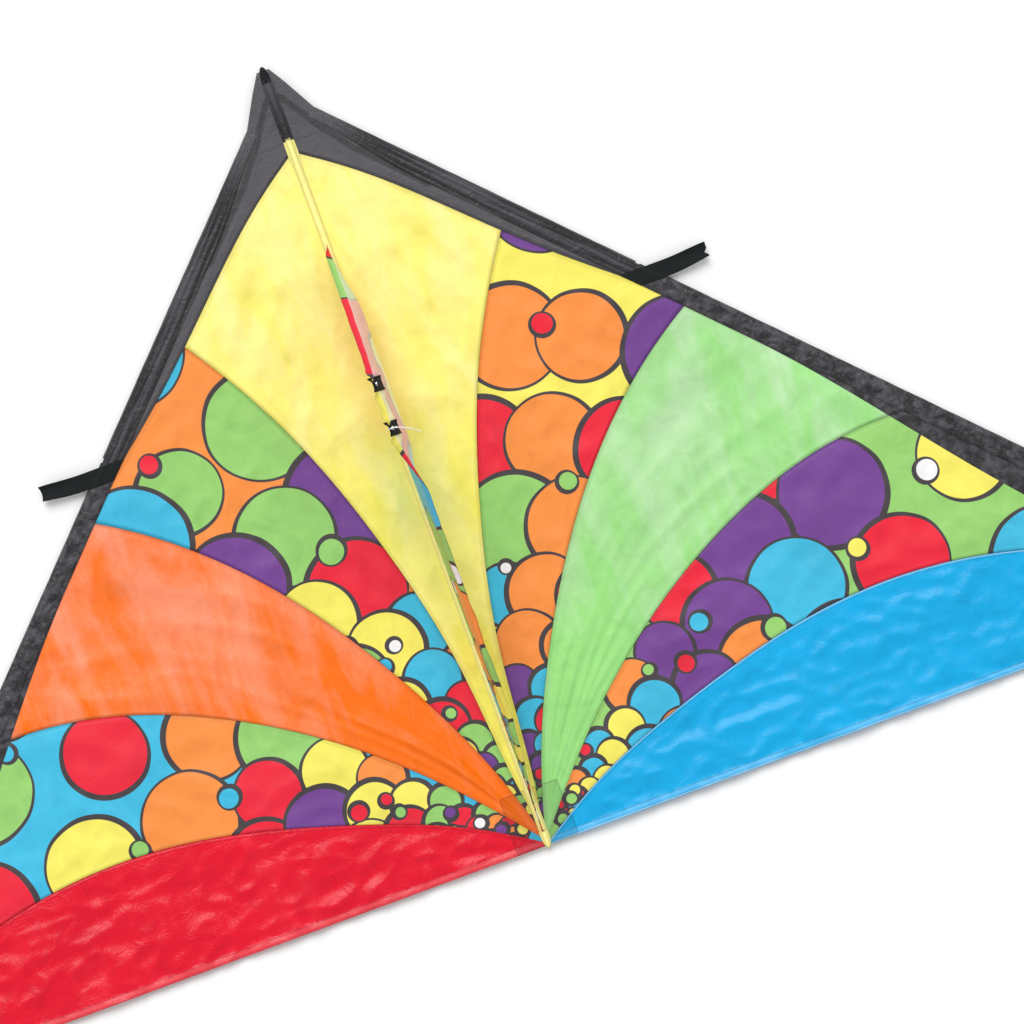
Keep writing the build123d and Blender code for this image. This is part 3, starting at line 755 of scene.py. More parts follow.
INNER_RIGHT = disc_print(11, "y", 8, 38, 1120, 3)
INNER_LEFT = disc_print(12, "o", 8, 38, 1120, 3)
OUTER_RIGHT = disc_print(13, "g", 44, 82, 1260, 3)
OUTER_LEFT = disc_print(14, "b", 44, 82, 1260, 3)
KEEL_PRINT = disc_print(15, "r", 1, 24, 1080, 2, keel=True)


# ---- Properties ----


def colour_property(name, description, red, green, blue):
    """A colour that a user can change."""
    default = linear(red, green, blue)[:3]
    return bpy.props.FloatVectorProperty(name=name, description=description, subtype="COLOR", size=3, min=0,
        max=1, default=default)


def length_property(name, description, default):
    """A small length in metres that a user can change."""
    return bpy.props.FloatProperty(name=name, description=description, subtype="DISTANCE", unit="LENGTH",
        min=0, default=default)


class KITE_PG_cloth(bpy.types.PropertyGroup):
    """Colours and sizes of the sewn cloth"""

    # Black and Sleeve are one black nylon: Black is lighter with painted light through the single ply of the nose
    # panels, and Sleeve is darker with painted shade of the double ply and the spar inside the tube.
    black: colour_property("Black", "Nose panels and their patches", 82, 80, 84)
    sleeve: colour_property("Sleeve", "Sleeves and the upper tunnel", 58, 56, 60)
    yellow: colour_property("Yellow", "The panels beside the spine and the long tunnel", 251, 241, 150)
    green: colour_property("Green", "The petal of the right wing", 180, 220, 168)
    orange: colour_property("Orange", "The petal of the left wing", 248, 146, 110)
    blue: colour_property("Blue", "The tail panel of the right wing", 0, 170, 229)
    red: colour_property("Red", "The tail panel of the left wing", 236, 38, 58)
    ply: length_property("Ply", "Thickness of one layer of cloth", 0.0004)
    hem: length_property("Hem", "Width of the trailing edge's hem", 0.0125)
    fold: bpy.props.FloatProperty(name="Folds", description="How high the folds stand", min=0, max=2,
        default=1.0, subtype="FACTOR")


class KITE_PG_trim(bpy.types.PropertyGroup):
    """Colours of the webbing and the frame, and the webbing's thickness"""

    webbing: colour_property("Webbing", "Pull tabs, tow tabs and pockets", 20, 26, 27)
    rod: colour_property("Rods", "Spars, spine and spreader", 34, 34, 38)
    metal: colour_property("Ferrules", "Ferrules of the rods", 150, 152, 156)
    plastic: colour_property("Fittings", "Spreader fittings and their ends", 22, 22, 24)
    webbing_ply: length_property("Webbing ply", "Thickness of the webbing", 0.0011)


class KITE_PG_stage(bpy.types.PropertyGroup):
    """The floor, the lights and the camera"""

    floor: length_property("Floor", "Half the width of the floor", 14.0)
    height: length_property("Camera height", "From the sail to the camera", 12.0)
    frame_width: length_property("Frame", "Width of the sail that the camera takes in", 1.786)
    centre: bpy.props.FloatVectorProperty(name="Centre", description="Point that the camera looks down on",
        subtype="TRANSLATION", unit="LENGTH", size=2, default=(0.1416, -0.1541))
    turn: bpy.props.FloatProperty(name="Turn",
        description="How far the camera is turned about its own line of sight", subtype="ANGLE",
        unit="ROTATION", default=radians(-20.27))
    key: bpy.props.FloatProperty(name="Key light",
        description="Strength of the broad light from beyond the nose", min=0, default=1.95)
    spread: bpy.props.FloatProperty(name="Spread", description="How soft the key light is", subtype="ANGLE",
        unit="ROTATION", default=radians(40))
    sky: bpy.props.FloatProperty(name="Sky", description="Strength of the even light from all round", min=0,
        default=0.65)


def opaque(colour):
    """A property's colour with an alpha."""
    return tuple(colour) + (1.0,)


MADE = {}


def finish(name):
    """The material of that name, made when it is first asked for."""
    if name not in MADE:
        cloth, trim = bpy.context.scene.kite_cloth, bpy.context.scene.kite_trim
        pale_thread = (0.8, 0.78, 0.76, 1.0)
        patch = ([(0.0, 58.0), (60.0, 131.0), (60.0, 142.0), (0.0, 141.0)], 0.05)
        base = ([(0.0, 1340.0), (54.0, 1341.0), (58.0, 1412.0), (58.0, 1446.0), (0.0, 1446.0)], 0.3)
        recipes = {
            "black": lambda: cloth_material("Black nylon", opaque(cloth.black), (0.03, 0.0006), 0.38,
                patches=[patch], double_tone=0.45),
            "sleeve": lambda: cloth_material("Sleeve nylon", opaque(cloth.sleeve), (0.022, 0.0011), 0.34,
                rows=(2.5,), start=opaque(cloth.black), crumple_sheen_from=PIVOT_ALONG * MM),
            "yellow": lambda: cloth_material("Yellow nylon", opaque(cloth.yellow), (0.06, 0.0003), 0.5,
                patches=[base], deepen=0.26, dim=0.03),
            "yellow_tunnel": lambda: cloth_material("Yellow tunnel nylon", opaque(cloth.yellow),
                (0.02, 0.0006), 0.46),
            "green": lambda: cloth_material("Green nylon", opaque(cloth.green), (0.05, 0.0003), 0.44,
                patches=[base], deepen=0.55, dim=0.05, edging=opaque(cloth.sleeve)),
            "orange": lambda: cloth_material("Orange nylon", opaque(cloth.orange), (0.045, 0.0005), 0.34,
                patches=[base], deepen=0.4, dim=0.03, edging=opaque(cloth.sleeve)),
            "blue": lambda: cloth_material("Blue nylon", opaque(cloth.blue), (0.04, 0.0005), 0.3,
                thread=pale_thread, patches=[base], hem=cloth.hem, deepen=0.05, dim=0.07,
                edging=opaque(cloth.sleeve)),
            "red": lambda: cloth_material("Red nylon", opaque(cloth.red), (0.045, 0.0007), 0.26, thread=None,
                patches=[base], hem=cloth.hem, deepen=0.12, dim=0.14, edging=opaque(cloth.sleeve)),
            "webbing": lambda: webbing_material("Black webbing", opaque(trim.webbing)),
            "rod": lambda: hard_material("Fibreglass rod", opaque(trim.rod), 0.34, coat=0.4),
            "metal": lambda: hard_material("Drawn alloy", opaque(trim.metal), 0.34, 1.0, scale=500.0),
            "rubber": lambda: hard_material("Rubber cap", (0.02, 0.02, 0.02, 1), 0.8, depth=0.00008),
            "plastic": lambda: hard_material("Moulded fitting", opaque(trim.plastic), 0.45, scale=420.0),
            "vinyl": lambda: hard_material("Vinyl tube", (0.02, 0.02, 0.022, 1), 0.3, coat=0.3),
            "eyelet": lambda: hard_material("Plated eyelet", (0.6, 0.58, 0.55, 1), 0.25, 1.0, scale=800.0),
            "string": string_material,
        }
        for label, table in (("inner_right", INNER_RIGHT), ("inner_left", INNER_LEFT),
                ("outer_right", OUTER_RIGHT), ("outer_left", OUTER_LEFT), ("keel", KEEL_PRINT)):
            for pale, ending in ((0.0, ""), (0.5, "_reverse")):
                recipes[label + ending] = lambda label=label, ending=ending, table=table, pale=pale: cloth_material(
                    ("Print " + label + ending).replace("_", " "), None, (0.06, 0.00022), 0.46,
                    discs=table[1], base=table[0], pale=pale, thread=None,
                    patches=[base] if label != "keel" else (),
                    edging=opaque(cloth.sleeve) if label.startswith("outer") else None
                )
        MADE[name] = recipes[name]()
    return MADE[name]


# ---- The sail ----

INNER = HINGE_START
TUCK = 31.0  # inward from the leading edge, where the panels end inside the sleeve


def start_out(line, out=INNER):
    """A line from where it passes that far out from the spine."""
    k = int(np.argmax(line[:, 0] > out))
    if k == 0:
        return line
    share = (out - line[k - 1, 0]) / (line[k, 0] - line[k - 1, 0])
    return np.vstack([line[k - 1] + (line[k] - line[k - 1]) * share, line[k:]])


def inside_sleeve(line):
    """How far in from the panels' outer edge each point of a line is."""
    return SHOULDER[0] + (line[:, 1] - SHOULDER[1]) * EDGE_OUT / EDGE_DOWN - TUCK / EDGE_DOWN - line[:, 0]


def sleeve_side(start, end):
    """The panels' outer edge, between two of its points."""
    return np.linspace(start, end, 60)


def seam_lines():
    """Every seam from the spine to where it ends, and the nose seam."""
    nose = smooth_line(NOSE_SEAM + [(edge_out(SEAM_MEETS_SLEEVE + 3, TUCK), SEAM_MEETS_SLEEVE + 3)])
    nose = np.vstack([[[INNER, 159.5]], nose])
    yellow = start_out(smooth_line(YELLOW_SEAM))
    yellow = cut_line(yellow, yellow[:, 1] - np.interp(yellow[:, 0], nose[:, 0], nose[:, 1]))
    lines = {"nose": nose, "yellow": yellow}
    for label, places in (("petal", PETAL_SEAM), ("outer", OUTER_SEAM), ("tail", TAIL_SEAM)):
        line = start_out(smooth_line(places))
        lines[label] = cut_line(line, inside_sleeve(line))
    lines["trail"] = np.array([[INNER, TRAIL], [edge_out(TRAIL, TUCK), TRAIL]])
    lines["spine"] = np.array([[INNER, yellow[0, 1]], [INNER, nose[0, 1]]])
    return lines


SEAMS = seam_lines()
ROWS = 190


def nose_parts():
    """The nose seam on each side of where the yellow seam meets it."""
    nose, meet = SEAMS["nose"], SEAMS["yellow"][-1]
    k = int(np.argmax(nose[:, 0] > meet[0]))
    return np.vstack([nose[:k], meet]), np.vstack([meet, nose[k:]])


def panel_folds(label, cut, s, t, edge):
    """How far the cloth of a panel stands above the flat sail, in millimetres."""
    out, down = cut[..., 0], cut[..., 1]
    seed = sum(ord(letter) for letter in label)
    if label == "yellow":
        rise = 4.6 * ripple(down / 85 + out / 260, out / 230, seed) + 2.0 * ripple(down / 38, out / 120 + 5,
            seed + 1)
        rise += 3.2 * (1 - 2.2 * np.abs(ripple(down / 120 - out / 90, out / 160, seed + 2)))
    elif label in ("green", "orange"):
        rise = 5.0 * ripple(t * 2.8, s * 2.6, seed) + 3.0 * (1 - 2.4
            * np.abs(ripple(t * 5.0, s * 4.0, seed + 1)))
        rise += 1.3 * ripple(out / 34, down / 60, seed + 2)
    elif label in ("blue", "red"):
        rise = 4.8 * ripple(s * 8.0, t * 2.2, seed) + 2.8 * (1 - 2.4
            * np.abs(ripple(out / 60, down / 44, seed + 1)))
        rise += 1.5 * ripple(out / 24, down / 30, seed + 2)
    else:
        rise = 3.8 * ripple(out / 120, down / 95, seed) + 2.2 * (1 - 2.4
            * np.abs(ripple(out / 80 + 3, down / 70, seed + 1)))
        rise += 1.1 * ripple(out / 30, down / 40, seed + 2)
    pucker = 0.35 * ripple(out / 9, down / 9, seed + 3) * (1 - ease(edge, 6, 22))
    room = ease(edge, 0, 34) * ease(out, 12, 46)
    return (np.clip(rise, -4.0, 10.0) * room + pucker * ease(out, 12, 30)) * bpy.context.scene.kite_cloth.fold


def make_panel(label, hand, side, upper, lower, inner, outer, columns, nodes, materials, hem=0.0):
    """One panel of the sail, between its upper and lower seam."""
    share = np.linspace(0, 1, columns)[None, :] * np.ones((ROWS, 1))
    if hem:
        width = np.linalg.norm(at_fraction(lower, np.linspace(0, 1, ROWS))
            - at_fraction(upper, np.linspace(0, 1, ROWS)), axis=1)
        fit = np.minimum(1, 0.4 * width / (hem + 1))
        strip = np.array([hem + 1.0, hem, 0.9, 0.0])
        near = 1 - strip[None, :] * (fit / width)[:, None]
        share = np.hstack([share * near[:, :1], near[:, 1:]])
    cut, s = four_sided(upper, lower, inner, outer, ROWS, share)
    lines = [upper, lower, outer] if label != "yellow" else [lower, outer]
    apart = np.min([distance_to(cut, line[:: max(1, len(line) // 90)]) for line in lines], axis=0)
    height = panel_folds(label, cut, s, share, apart)
    trail = TRAIL - cut[..., 1]
    if hem:
        free = np.min([distance_to(cut, line[:: max(1, len(line) // 90)]) for line in (upper, outer)], axis=0)
        loose = panel_folds(label, cut, s, share, free)
        height = loose * ease(cut[..., 0], 30, 120)
        height += 0.5 * (trail < hem + 0.4)
    run = (1 - share) * s * line_length(upper) + share * s * line_length(lower)
    seam = np.stack([run, apart], axis=-1)
    points = np.stack([side * cut[..., 0], NOSE_Y / MM - cut[..., 1], SAIL_TOP + height], axis=-1)
    piece = grid_piece(f"{label}_cloth_{hand}", points, {"Cut": cut, "Seam": seam}, side)
    reshape(piece, merge_only)
    thicken(piece, bpy.context.scene.kite_cloth.ply / MM, materials)
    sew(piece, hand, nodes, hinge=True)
    width, length, area = flat_size(cut)
    return piece


class KITE_OT_yellow_panels(bpy.types.Operator):
    """Makes the yellow panels beside the spine"""

    bl_idname = "kite.yellow_panels"
    bl_label = "Yellow panels"

    def execute(self, context):
        top, _ = nose_parts()
        start = SEAMS["spine"][:1]
        for hand, side in HANDS:
            make_panel("yellow", hand, side, SEAMS["spine"], SEAMS["yellow"], np.vstack([start, start]), top,
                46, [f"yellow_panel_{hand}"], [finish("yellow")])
        return {"FINISHED"}


class KITE_OT_printed_panels(bpy.types.Operator):
    """Makes the inner and outer printed panels"""

    bl_idname = "kite.printed_panels"
    bl_label = "Printed panels"

    def execute(self, context):
        _, side_part = nose_parts()
        for hand, side in HANDS:
            petal, outer, tail = SEAMS["petal"], SEAMS["outer"], SEAMS["tail"]
            edge = np.vstack([side_part, sleeve_side(side_part[-1], petal[-1])[1:]])
            base = np.array([SEAMS["yellow"][0], petal[0]])
            prints = [finish(f"inner_{hand}"), finish(f"inner_{hand}_reverse")]
            make_panel("inner_print", hand, side, SEAMS["yellow"], petal, base, edge, 36,
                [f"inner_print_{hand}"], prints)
            base = np.array([outer[0], tail[0]])
            prints = [finish(f"outer_{hand}"), finish(f"outer_{hand}_reverse")]
            make_panel("outer_print", hand, side, outer, tail, base, sleeve_side(outer[-1], tail[-1]), 40,
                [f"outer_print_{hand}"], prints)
        return {"FINISHED"}


class KITE_OT_petals(bpy.types.Operator):
    """Makes the plain petals, green on the right wing and orange on the left"""

    bl_idname = "kite.petals"
    bl_label = "Petals"

    def execute(self, context):
        petal, outer = SEAMS["petal"], SEAMS["outer"]
        base, edge = np.array([petal[0], outer[0]]), sleeve_side(petal[-1], outer[-1])
        for (hand, side), colour in zip(HANDS, ("green", "orange")):
            make_panel(colour, hand, side, petal, outer, base, edge, 44, [f"{colour}_petal_{hand}"],
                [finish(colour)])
        return {"FINISHED"}


class KITE_OT_tails(bpy.types.Operator):
    """Makes the tail panels with their hem, blue on the right wing and red on the left"""

    bl_idname = "kite.tails"
    bl_label = "Tail panels"

    def execute(self, context):
        tail, trail = SEAMS["tail"], SEAMS["trail"]
        base, edge = np.array([tail[0], trail[0]]), sleeve_side(tail[-1], trail[-1])
        hem = context.scene.kite_cloth.hem / MM
        for (hand, side), colour in zip(HANDS, ("blue", "red")):
            make_panel(colour, hand, side, tail, trail, base, edge, 40, [f"{colour}_tail_{hand}"],
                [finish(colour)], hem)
        return {"FINISHED"}


class KITE_OT_nose_panels(bpy.types.Operator):
    """Makes the black panels of the nose"""

    bl_idname = "kite.nose_panels"
    bl_label = "Nose panels"

    def execute(self, context):
        lower = SEAMS["nose"]
        beside = [by_edge(along, inward) for along, inward in ((22, 10), (60, 20), (130, 28), (240, TUCK))]
        upper = np.array([(INNER, BEAK[1]), BEAK, (30, 38), SHOULDER] + beside + [tuple(lower[-1])], float)
        inner, outer = np.array([upper[0], lower[0]]), np.array([upper[-1], lower[-1]])
        for hand, side in HANDS:
            share = np.linspace(0, 1, 30)[None, :] * np.ones((ROWS, 1))
            cut, s = four_sided(upper, lower, inner, outer, ROWS, share)
            turned = np.array([(INNER, 52), (15, 62), (46, 108), (58, 128)]
                + [by_edge(along, 34) for along in (90, 240)], float)
            apart = np.minimum(distance_to(cut, lower[::2]), distance_to(cut, turned))
            height = panel_folds("nose", cut, s, share, np.minimum(apart, distance_to(cut, upper[3:]))) * 0.55
            points = np.stack([side * cut[..., 0], NOSE_Y / MM - cut[..., 1], SAIL_TOP + height], axis=-1)
            seam = np.stack([s * line_length(lower), apart], axis=-1)
            piece = grid_piece(f"nose_cloth_{hand}", points, {"Cut": cut, "Seam": seam}, side)
            reshape(piece, merge_only)
            thicken(piece, context.scene.kite_cloth.ply / MM, [finish("black")])
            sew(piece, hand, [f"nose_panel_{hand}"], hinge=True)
            width, length, area = flat_size(cut)
            area = max(area, LEAST_SHEET_SHARE * width * length)
        return {"FINISHED"}


# ---- Sleeves ----

SLEEVE_FRONT = [(35, 12.55), (33.4, 12.75), (30, 12.7), (27, 12.75), (24, 12.8), (21, 12.8), (18, 12.85),
    (15, 12.9), (12, 12.9), (9.5, 12.8), (7.4, 12.55), (5.4, 12.05), (3.4, 11.1), (1.7, 9.7), (0.5, 7.9)]
SLEEVE_BACK = [(0.1, 6), (0.5, 4.2), (1.7, 2.4), (3.6, 1.0), (6, 0.45), (8.4, 1.0), (10.4, 2.5), (12, 4.8),
    (14.4, 7.6), (17.6, 9.6), (22, 10.7), (28, 11.1), (35, 11.3)]


def sleeve_section(along, profile, swell=0.0):
    """(inward, height) of the sleeve's section at each place along it."""
    q = np.array(profile, float)[None, :, 0] * np.ones((len(along), 1))
    z = np.array(profile, float)[None, :, 1] * np.ones((len(along), 1))
    a = np.array(along, float)[:, None] * np.ones_like(q)
    front = ease(z, 9.5, 12.3)
    calm = 1 - 0.75 * ease(a, PIVOT_ALONG - 60, PIVOT_ALONG + 60)
    begun = ease(a, 0, 110)
    ridge = np.exp(-(((q - 10 - 1.5 * ripple(a / 160, q * 0, 31)) / 2.8) ** 2)) * (2.0 + 1.0
        * ripple(a / 140, q * 0 + 3, 32))
    ridge += np.exp(-(((q - 23 - 2.0 * ripple(a / 190, q * 0, 33)) / 2.4) ** 2)) * (1.6 + 1.0
        * ripple(a / 120, q * 0 + 7, 34))
    crease = 2.4 * ripple(a / 26, q / 12, 35) + 2.2 * (0.6 - 1.8
        * np.abs(ripple(a / 19 + q / 14, q / 16, 36))) + 1.0 * ripple(a / 9, q / 7, 37)
    inner = ease(q, 0, 6) * (1 - ease(q, 31, 34))
    z = z + front * inner * begun * (ridge * calm + np.maximum(crease, -0.6) * (1 - 0.75 * calm))
    start = 1 - ease(a, 0, 45)
    z = z - start * front * np.maximum(z - SAIL_TOP - 0.35, 0)
    q = np.where(q > 6, 6 + (q - 6) * (0.5 + 0.5 * ease(a, 0, 220)), q)
    z = z + front * swell
    q = q + 0.5 * ripple(a / 40, z * 0, 38) * (1 - ease(q, 4, 16)) - swell * (1 - ease(q, 0, 6))
    return q, z


def sleeve_points(along, profile, side, swell=0.0):
    """Points of the sleeve, in millimetres, and its flat cut."""
    q, z = sleeve_section(along, profile, swell)
    a = np.array(along, float)[:, None] * np.ones_like(q)
    out = SHOULDER[0] + a * EDGE_OUT - q * EDGE_DOWN
    down = SHOULDER[1] + a * EDGE_DOWN + q * EDGE_OUT
    round_it = np.concatenate([[0], np.cumsum(np.hypot(*np.diff(np.array(profile, float), axis=0).T))])
    cut = np.stack([a, round_it[None, :] * np.ones_like(a)], axis=-1)
    seam = np.stack([a, np.minimum(cut[..., 1], round_it[-1] - cut[..., 1])], axis=-1)
    return np.stack([side * out, NOSE_Y / MM - down, z], axis=-1), cut, seam


class KITE_OT_sleeves(bpy.types.Operator):
    """Makes the leading edge sleeves, open at the spreader fittings"""

    bl_idname = "kite.sleeves"
    bl_label = "Sleeves"

    def execute(self, context):
        profile = SLEEVE_FRONT + SLEEVE_BACK
        gap = 23.0
        before = np.linspace(0, PIVOT_ALONG - gap, 100)
        beside = np.linspace(PIVOT_ALONG - gap, PIVOT_ALONG + gap, 9)[1:-1]
        after = np.linspace(PIVOT_ALONG + gap, EDGE_LENGTH + SLEEVE, 230)
        along = np.concatenate([before, beside, after])
        for hand, side in HANDS:
            points, cut, seam = sleeve_points(along, profile, side)
            piece = grid_piece(f"sleeve_cloth_{hand}", points, {"Cut": cut, "Seam": seam}, -side)

            def open_window(shape):
                low = [face for face in shape.faces if self.in_window(face, side, gap)]
                bmesh.ops.delete(shape, geom=low, context="FACES")
                cut_through = shape.verts[:] + shape.edges[:] + shape.faces[:]
                bmesh.ops.bisect_plane(shape, geom=cut_through, plane_co=(0, NOSE_Y - TRAIL * MM, 0),
                    plane_no=(0, -1, 0), clear_outer=True)

            reshape(piece, open_window)
            thicken(piece, context.scene.kite_cloth.ply / MM, [finish("sleeve")])
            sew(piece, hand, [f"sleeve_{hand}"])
        return {"FINISHED"}

    @staticmethod
    def in_window(face, side, gap):
        """True for the part of the underside that the spreader fitting passes through."""
        centre = face.calc_center_median() / MM
        out, down = side * centre.x - SHOULDER[0], NOSE_Y / MM - centre.y - SHOULDER[1]
        along, inward = out * EDGE_OUT + down * EDGE_DOWN, down * EDGE_OUT - out * EDGE_DOWN
        return abs(along - PIVOT_ALONG) < gap and centre.z < 10.6 and inward < 22


class KITE_OT_tip_pockets(bpy.types.Operator):
    """Makes the webbing pockets that close the sleeves at the wing tips"""

    bl_idname = "kite.tip_pockets"
    bl_label = "Tip pockets"

    def execute(self, context):
        along = np.linspace(EDGE_LENGTH - 75, EDGE_LENGTH + SLEEVE, 60)
        lip = (TRAIL - 45) * MM
        for hand, side in HANDS:
            points, cut, seam = sleeve_points(along, SLEEVE_FRONT, side, 0.5)
            piece = grid_piece(f"tip_pocket_webbing_{hand}", points, {"Cut": cut, "Seam": seam}, -side)

            def trim(shape):
                for place, normal in ((NOSE_Y - (TRAIL + 0.5) * MM, -1), (NOSE_Y - lip, 1)):
                    geometry = shape.verts[:] + shape.edges[:] + shape.faces[:]
                    bmesh.ops.bisect_plane(shape, geom=geometry, plane_co=(0, place, 0),
                        plane_no=(0, normal, 0), clear_outer=True)

            reshape(piece, trim)
            thicken(piece, context.scene.kite_trim.webbing_ply / MM, [finish("webbing")], 1.0)
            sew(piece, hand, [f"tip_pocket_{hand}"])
        return {"FINISHED"}


class KITE_OT_patches(bpy.types.Operator):
    """Makes the patches sewn under the nose and under the base, and the strip along the spine"""

    bl_idname = "kite.patches"
    bl_label = "Patches"

    def execute(self, context):
        nose = ([(4, 64), (30, 116), (53, 140)], [(4, 64), (4, 141)], [(4, 64), (4, 64)],
            [(53, 140), (4, 141)])
        base = ([(4, 1340), (54, 1341)], [(4, 1440), (58, 1440)], [(4, 1340), (4, 1440)],
            [(54, 1341), (58, 1412), (58, 1440)])
        for hand, side in HANDS:
            for label, lines, colour, slot in (("nose", nose, "black", "cloth_black"),
                    ("base", base, "yellow_tunnel", "cloth_yellow")):
                node = f"{label}_patch_{hand}"
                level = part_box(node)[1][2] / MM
                slot = frame_slot(node, slot)
                piece, cut = flat_piece(f"{label}_patch_cloth_{hand}", side, lines, 14, 12, level, label)
                thicken(piece, 0.5, [finish("webbing" if slot == "webbing_black" else colour)])
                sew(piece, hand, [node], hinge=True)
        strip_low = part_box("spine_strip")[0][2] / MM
        lines = ([(-6.1, 7), (6.1, 7)], [(-6.1, TRAIL), (6.1, TRAIL)], [(-6.1, 7), (-6.1, TRAIL)],
            [(6.1, 7), (6.1, TRAIL)])
        piece, cut = flat_piece("spine_strip_cloth", 1, lines, 4, 120, strip_low + 0.1, "strip")
        thicken(piece, 0.3, [finish("yellow_tunnel")])
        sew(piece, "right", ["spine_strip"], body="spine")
        return {"FINISHED"}


def frame_slot(node, otherwise):
    """The slot of a CAD node, by the name of its own material."""
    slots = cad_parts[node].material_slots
    names = [slot.material.name.split(".")[0] for slot in slots if slot.material]
    return names[0] if names and names[0].startswith(("cloth_", "webbing_")) else otherwise


def flat_piece(name, side, lines, rows, columns, level, seed_label):
    """A flat piece of cloth between four boundary lines, with a slight ripple."""
    upper, lower, inner, outer = (np.array(line, float) for line in lines)
    share = np.linspace(0, 1, columns)[None, :] * np.ones((rows, 1))
    cut, s = four_sided(upper, lower, inner, outer, rows, share)
    seed = sum(ord(letter) for letter in seed_label)
    height = level - 0.12 - 0.1 * np.abs(ripple(cut[..., 0] / 14, cut[..., 1] / 17, seed))
    points = np.stack([side * cut[..., 0], NOSE_Y / MM - cut[..., 1], height], axis=-1)
    edge = np.min([distance_to(cut, line) for line in (upper, lower, outer)], axis=0)
    piece = grid_piece(name, points, {"Cut": cut, "Seam": np.stack([s * line_length(lower), edge], axis=-1)},
        side)
    reshape(piece, merge_only)
    return piece, cut


# ---- Spine tunnel and its pockets ----


def tunnel_section(swell=0.0):
    """(across, height) of the tunnel's section, from one flange over the top to the other."""
    radius = 5.0 + swell
    top = TUNNEL_TOP - 5.0
    arc = [(-radius * cos(radians(a)), top + radius * sin(radians(a))) for a in range(-40, 221, 20)]
    flange = [(-10.0 - swell, 12.6), (-8.6, 12.75 + swell), (-7.0, 12.8 + swell), (-5.6, 12.95 + swell)]
    return np.array(flange + arc[1:-1] + [(-x, z) for x, z in reversed(flange)])


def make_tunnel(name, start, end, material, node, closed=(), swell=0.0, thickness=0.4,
        taper=(6.0, 0.55), rounded=False, width=1.0):
    """A length of the tunnel along the spine, gathered flat where an end is closed."""
    section = tunnel_section(swell)
    downs = np.unique(np.concatenate([np.arange(start, end, 7.0), [end],
        start + np.array([0.4, 1.5, 3.0, 5.0]), end - np.array([0.4, 1.5, 3.0, 5.0])]))
    downs = downs[(downs >= start) & (downs <= end)]
    full = np.ones(len(downs))
    for where in closed:
        gap = np.abs(downs - where)
        full *= np.sqrt(np.clip(1 - (1 - np.clip(gap / taper[0], 0, 1)) ** 2, 0.004, 1))
    across, height = section[None, :, 0] * np.ones((len(downs), 1)), section[None, :,
        1] * np.ones((len(downs), 1))
    run = downs[:, None] * np.ones_like(across)
    wrinkle = 0.45 * ripple(run / 13, height / 3, 51) + 0.3 * ripple(run / 31, across / 5, 52)
    lifted = ease(height, 13.2, 16)
    across = across * width * (1 + wrinkle * 0.05 * lifted) * (taper[1] + (1 - taper[1]) * full[:, None])
    if rounded:
        spread = np.sqrt(1 - (1 - np.clip((run - start) / 9, 0, 1)) ** 2) * (1 - 0.55 * ease(run, 165, 200))
        across = np.sign(across) * (np.minimum(np.abs(across), 5.3) + np.maximum(np.abs(across) - 5.3, 0)
            * spread)
    height = 12.6 + (height - 12.6) * full[:, None] + np.minimum(wrinkle * 0.4, 0.15) * lifted * full[:, None]
    points = np.stack([across, NOSE_Y / MM - run, height], axis=-1)
    lengths = np.concatenate([[0], np.cumsum(np.hypot(*np.diff(section, axis=0).T))])
    cut = np.stack([run, lengths[None, :] * np.ones_like(run)], axis=-1)
    seam = np.stack([run, np.minimum(cut[..., 1], lengths[-1] - cut[..., 1])], axis=-1)
    piece = grid_piece(name, points, {"Cut": cut, "Seam": seam}, -1)
    reshape(piece, merge_only)
    thicken(piece, thickness, [material], 0.0 if swell else -1.0)
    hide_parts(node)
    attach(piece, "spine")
    return piece


class KITE_OT_tunnel(bpy.types.Operator):
    """Makes the tunnel along the spine and the pockets at its ends"""

    bl_idname = "kite.tunnel"
    bl_label = "Spine tunnel"

    def execute(self, context):
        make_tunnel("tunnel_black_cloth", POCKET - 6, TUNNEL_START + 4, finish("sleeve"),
            "spine_tunnel_black")
        make_tunnel("tunnel_yellow_cloth", TUNNEL_START, TUNNEL_END + 6, finish("yellow_tunnel"),
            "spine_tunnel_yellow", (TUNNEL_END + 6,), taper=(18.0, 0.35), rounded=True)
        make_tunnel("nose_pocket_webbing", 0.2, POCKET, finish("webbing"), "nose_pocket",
            (0.2,), 0.45, 0.8, (26.0, 0.1), width=0.78)
        make_tunnel("tail_pocket_cloth", LENGTH - POCKET, LENGTH - 0.2, finish("yellow_tunnel"),
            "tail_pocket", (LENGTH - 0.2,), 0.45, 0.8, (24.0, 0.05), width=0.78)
        return {"FINISHED"}


# ---- Keel, tow tabs and eyelets ----


def keel_depth(down):
    """How far the keel's free edge stands above its fold line at a place down the spine."""
    front, rear = smooth_line(KEEL_FRONT_EDGE), smooth_line(KEEL_REAR_EDGE)
    return np.interp(down, np.concatenate([front[:, 0], rear[:, 0]]),
        np.concatenate([front[:, 1], rear[:, 1]]))


def keel_bend(down):
    """How far the keel's hem is bent over to the left, from 0 to 1."""
    near = np.min([np.abs(down - place) for place in TOW_DOWN.values()], axis=0)
    return ease(near, 12, 24) * (1 - 0.75 * ease(down, 690, 820)) * ease(down, 331, 350)


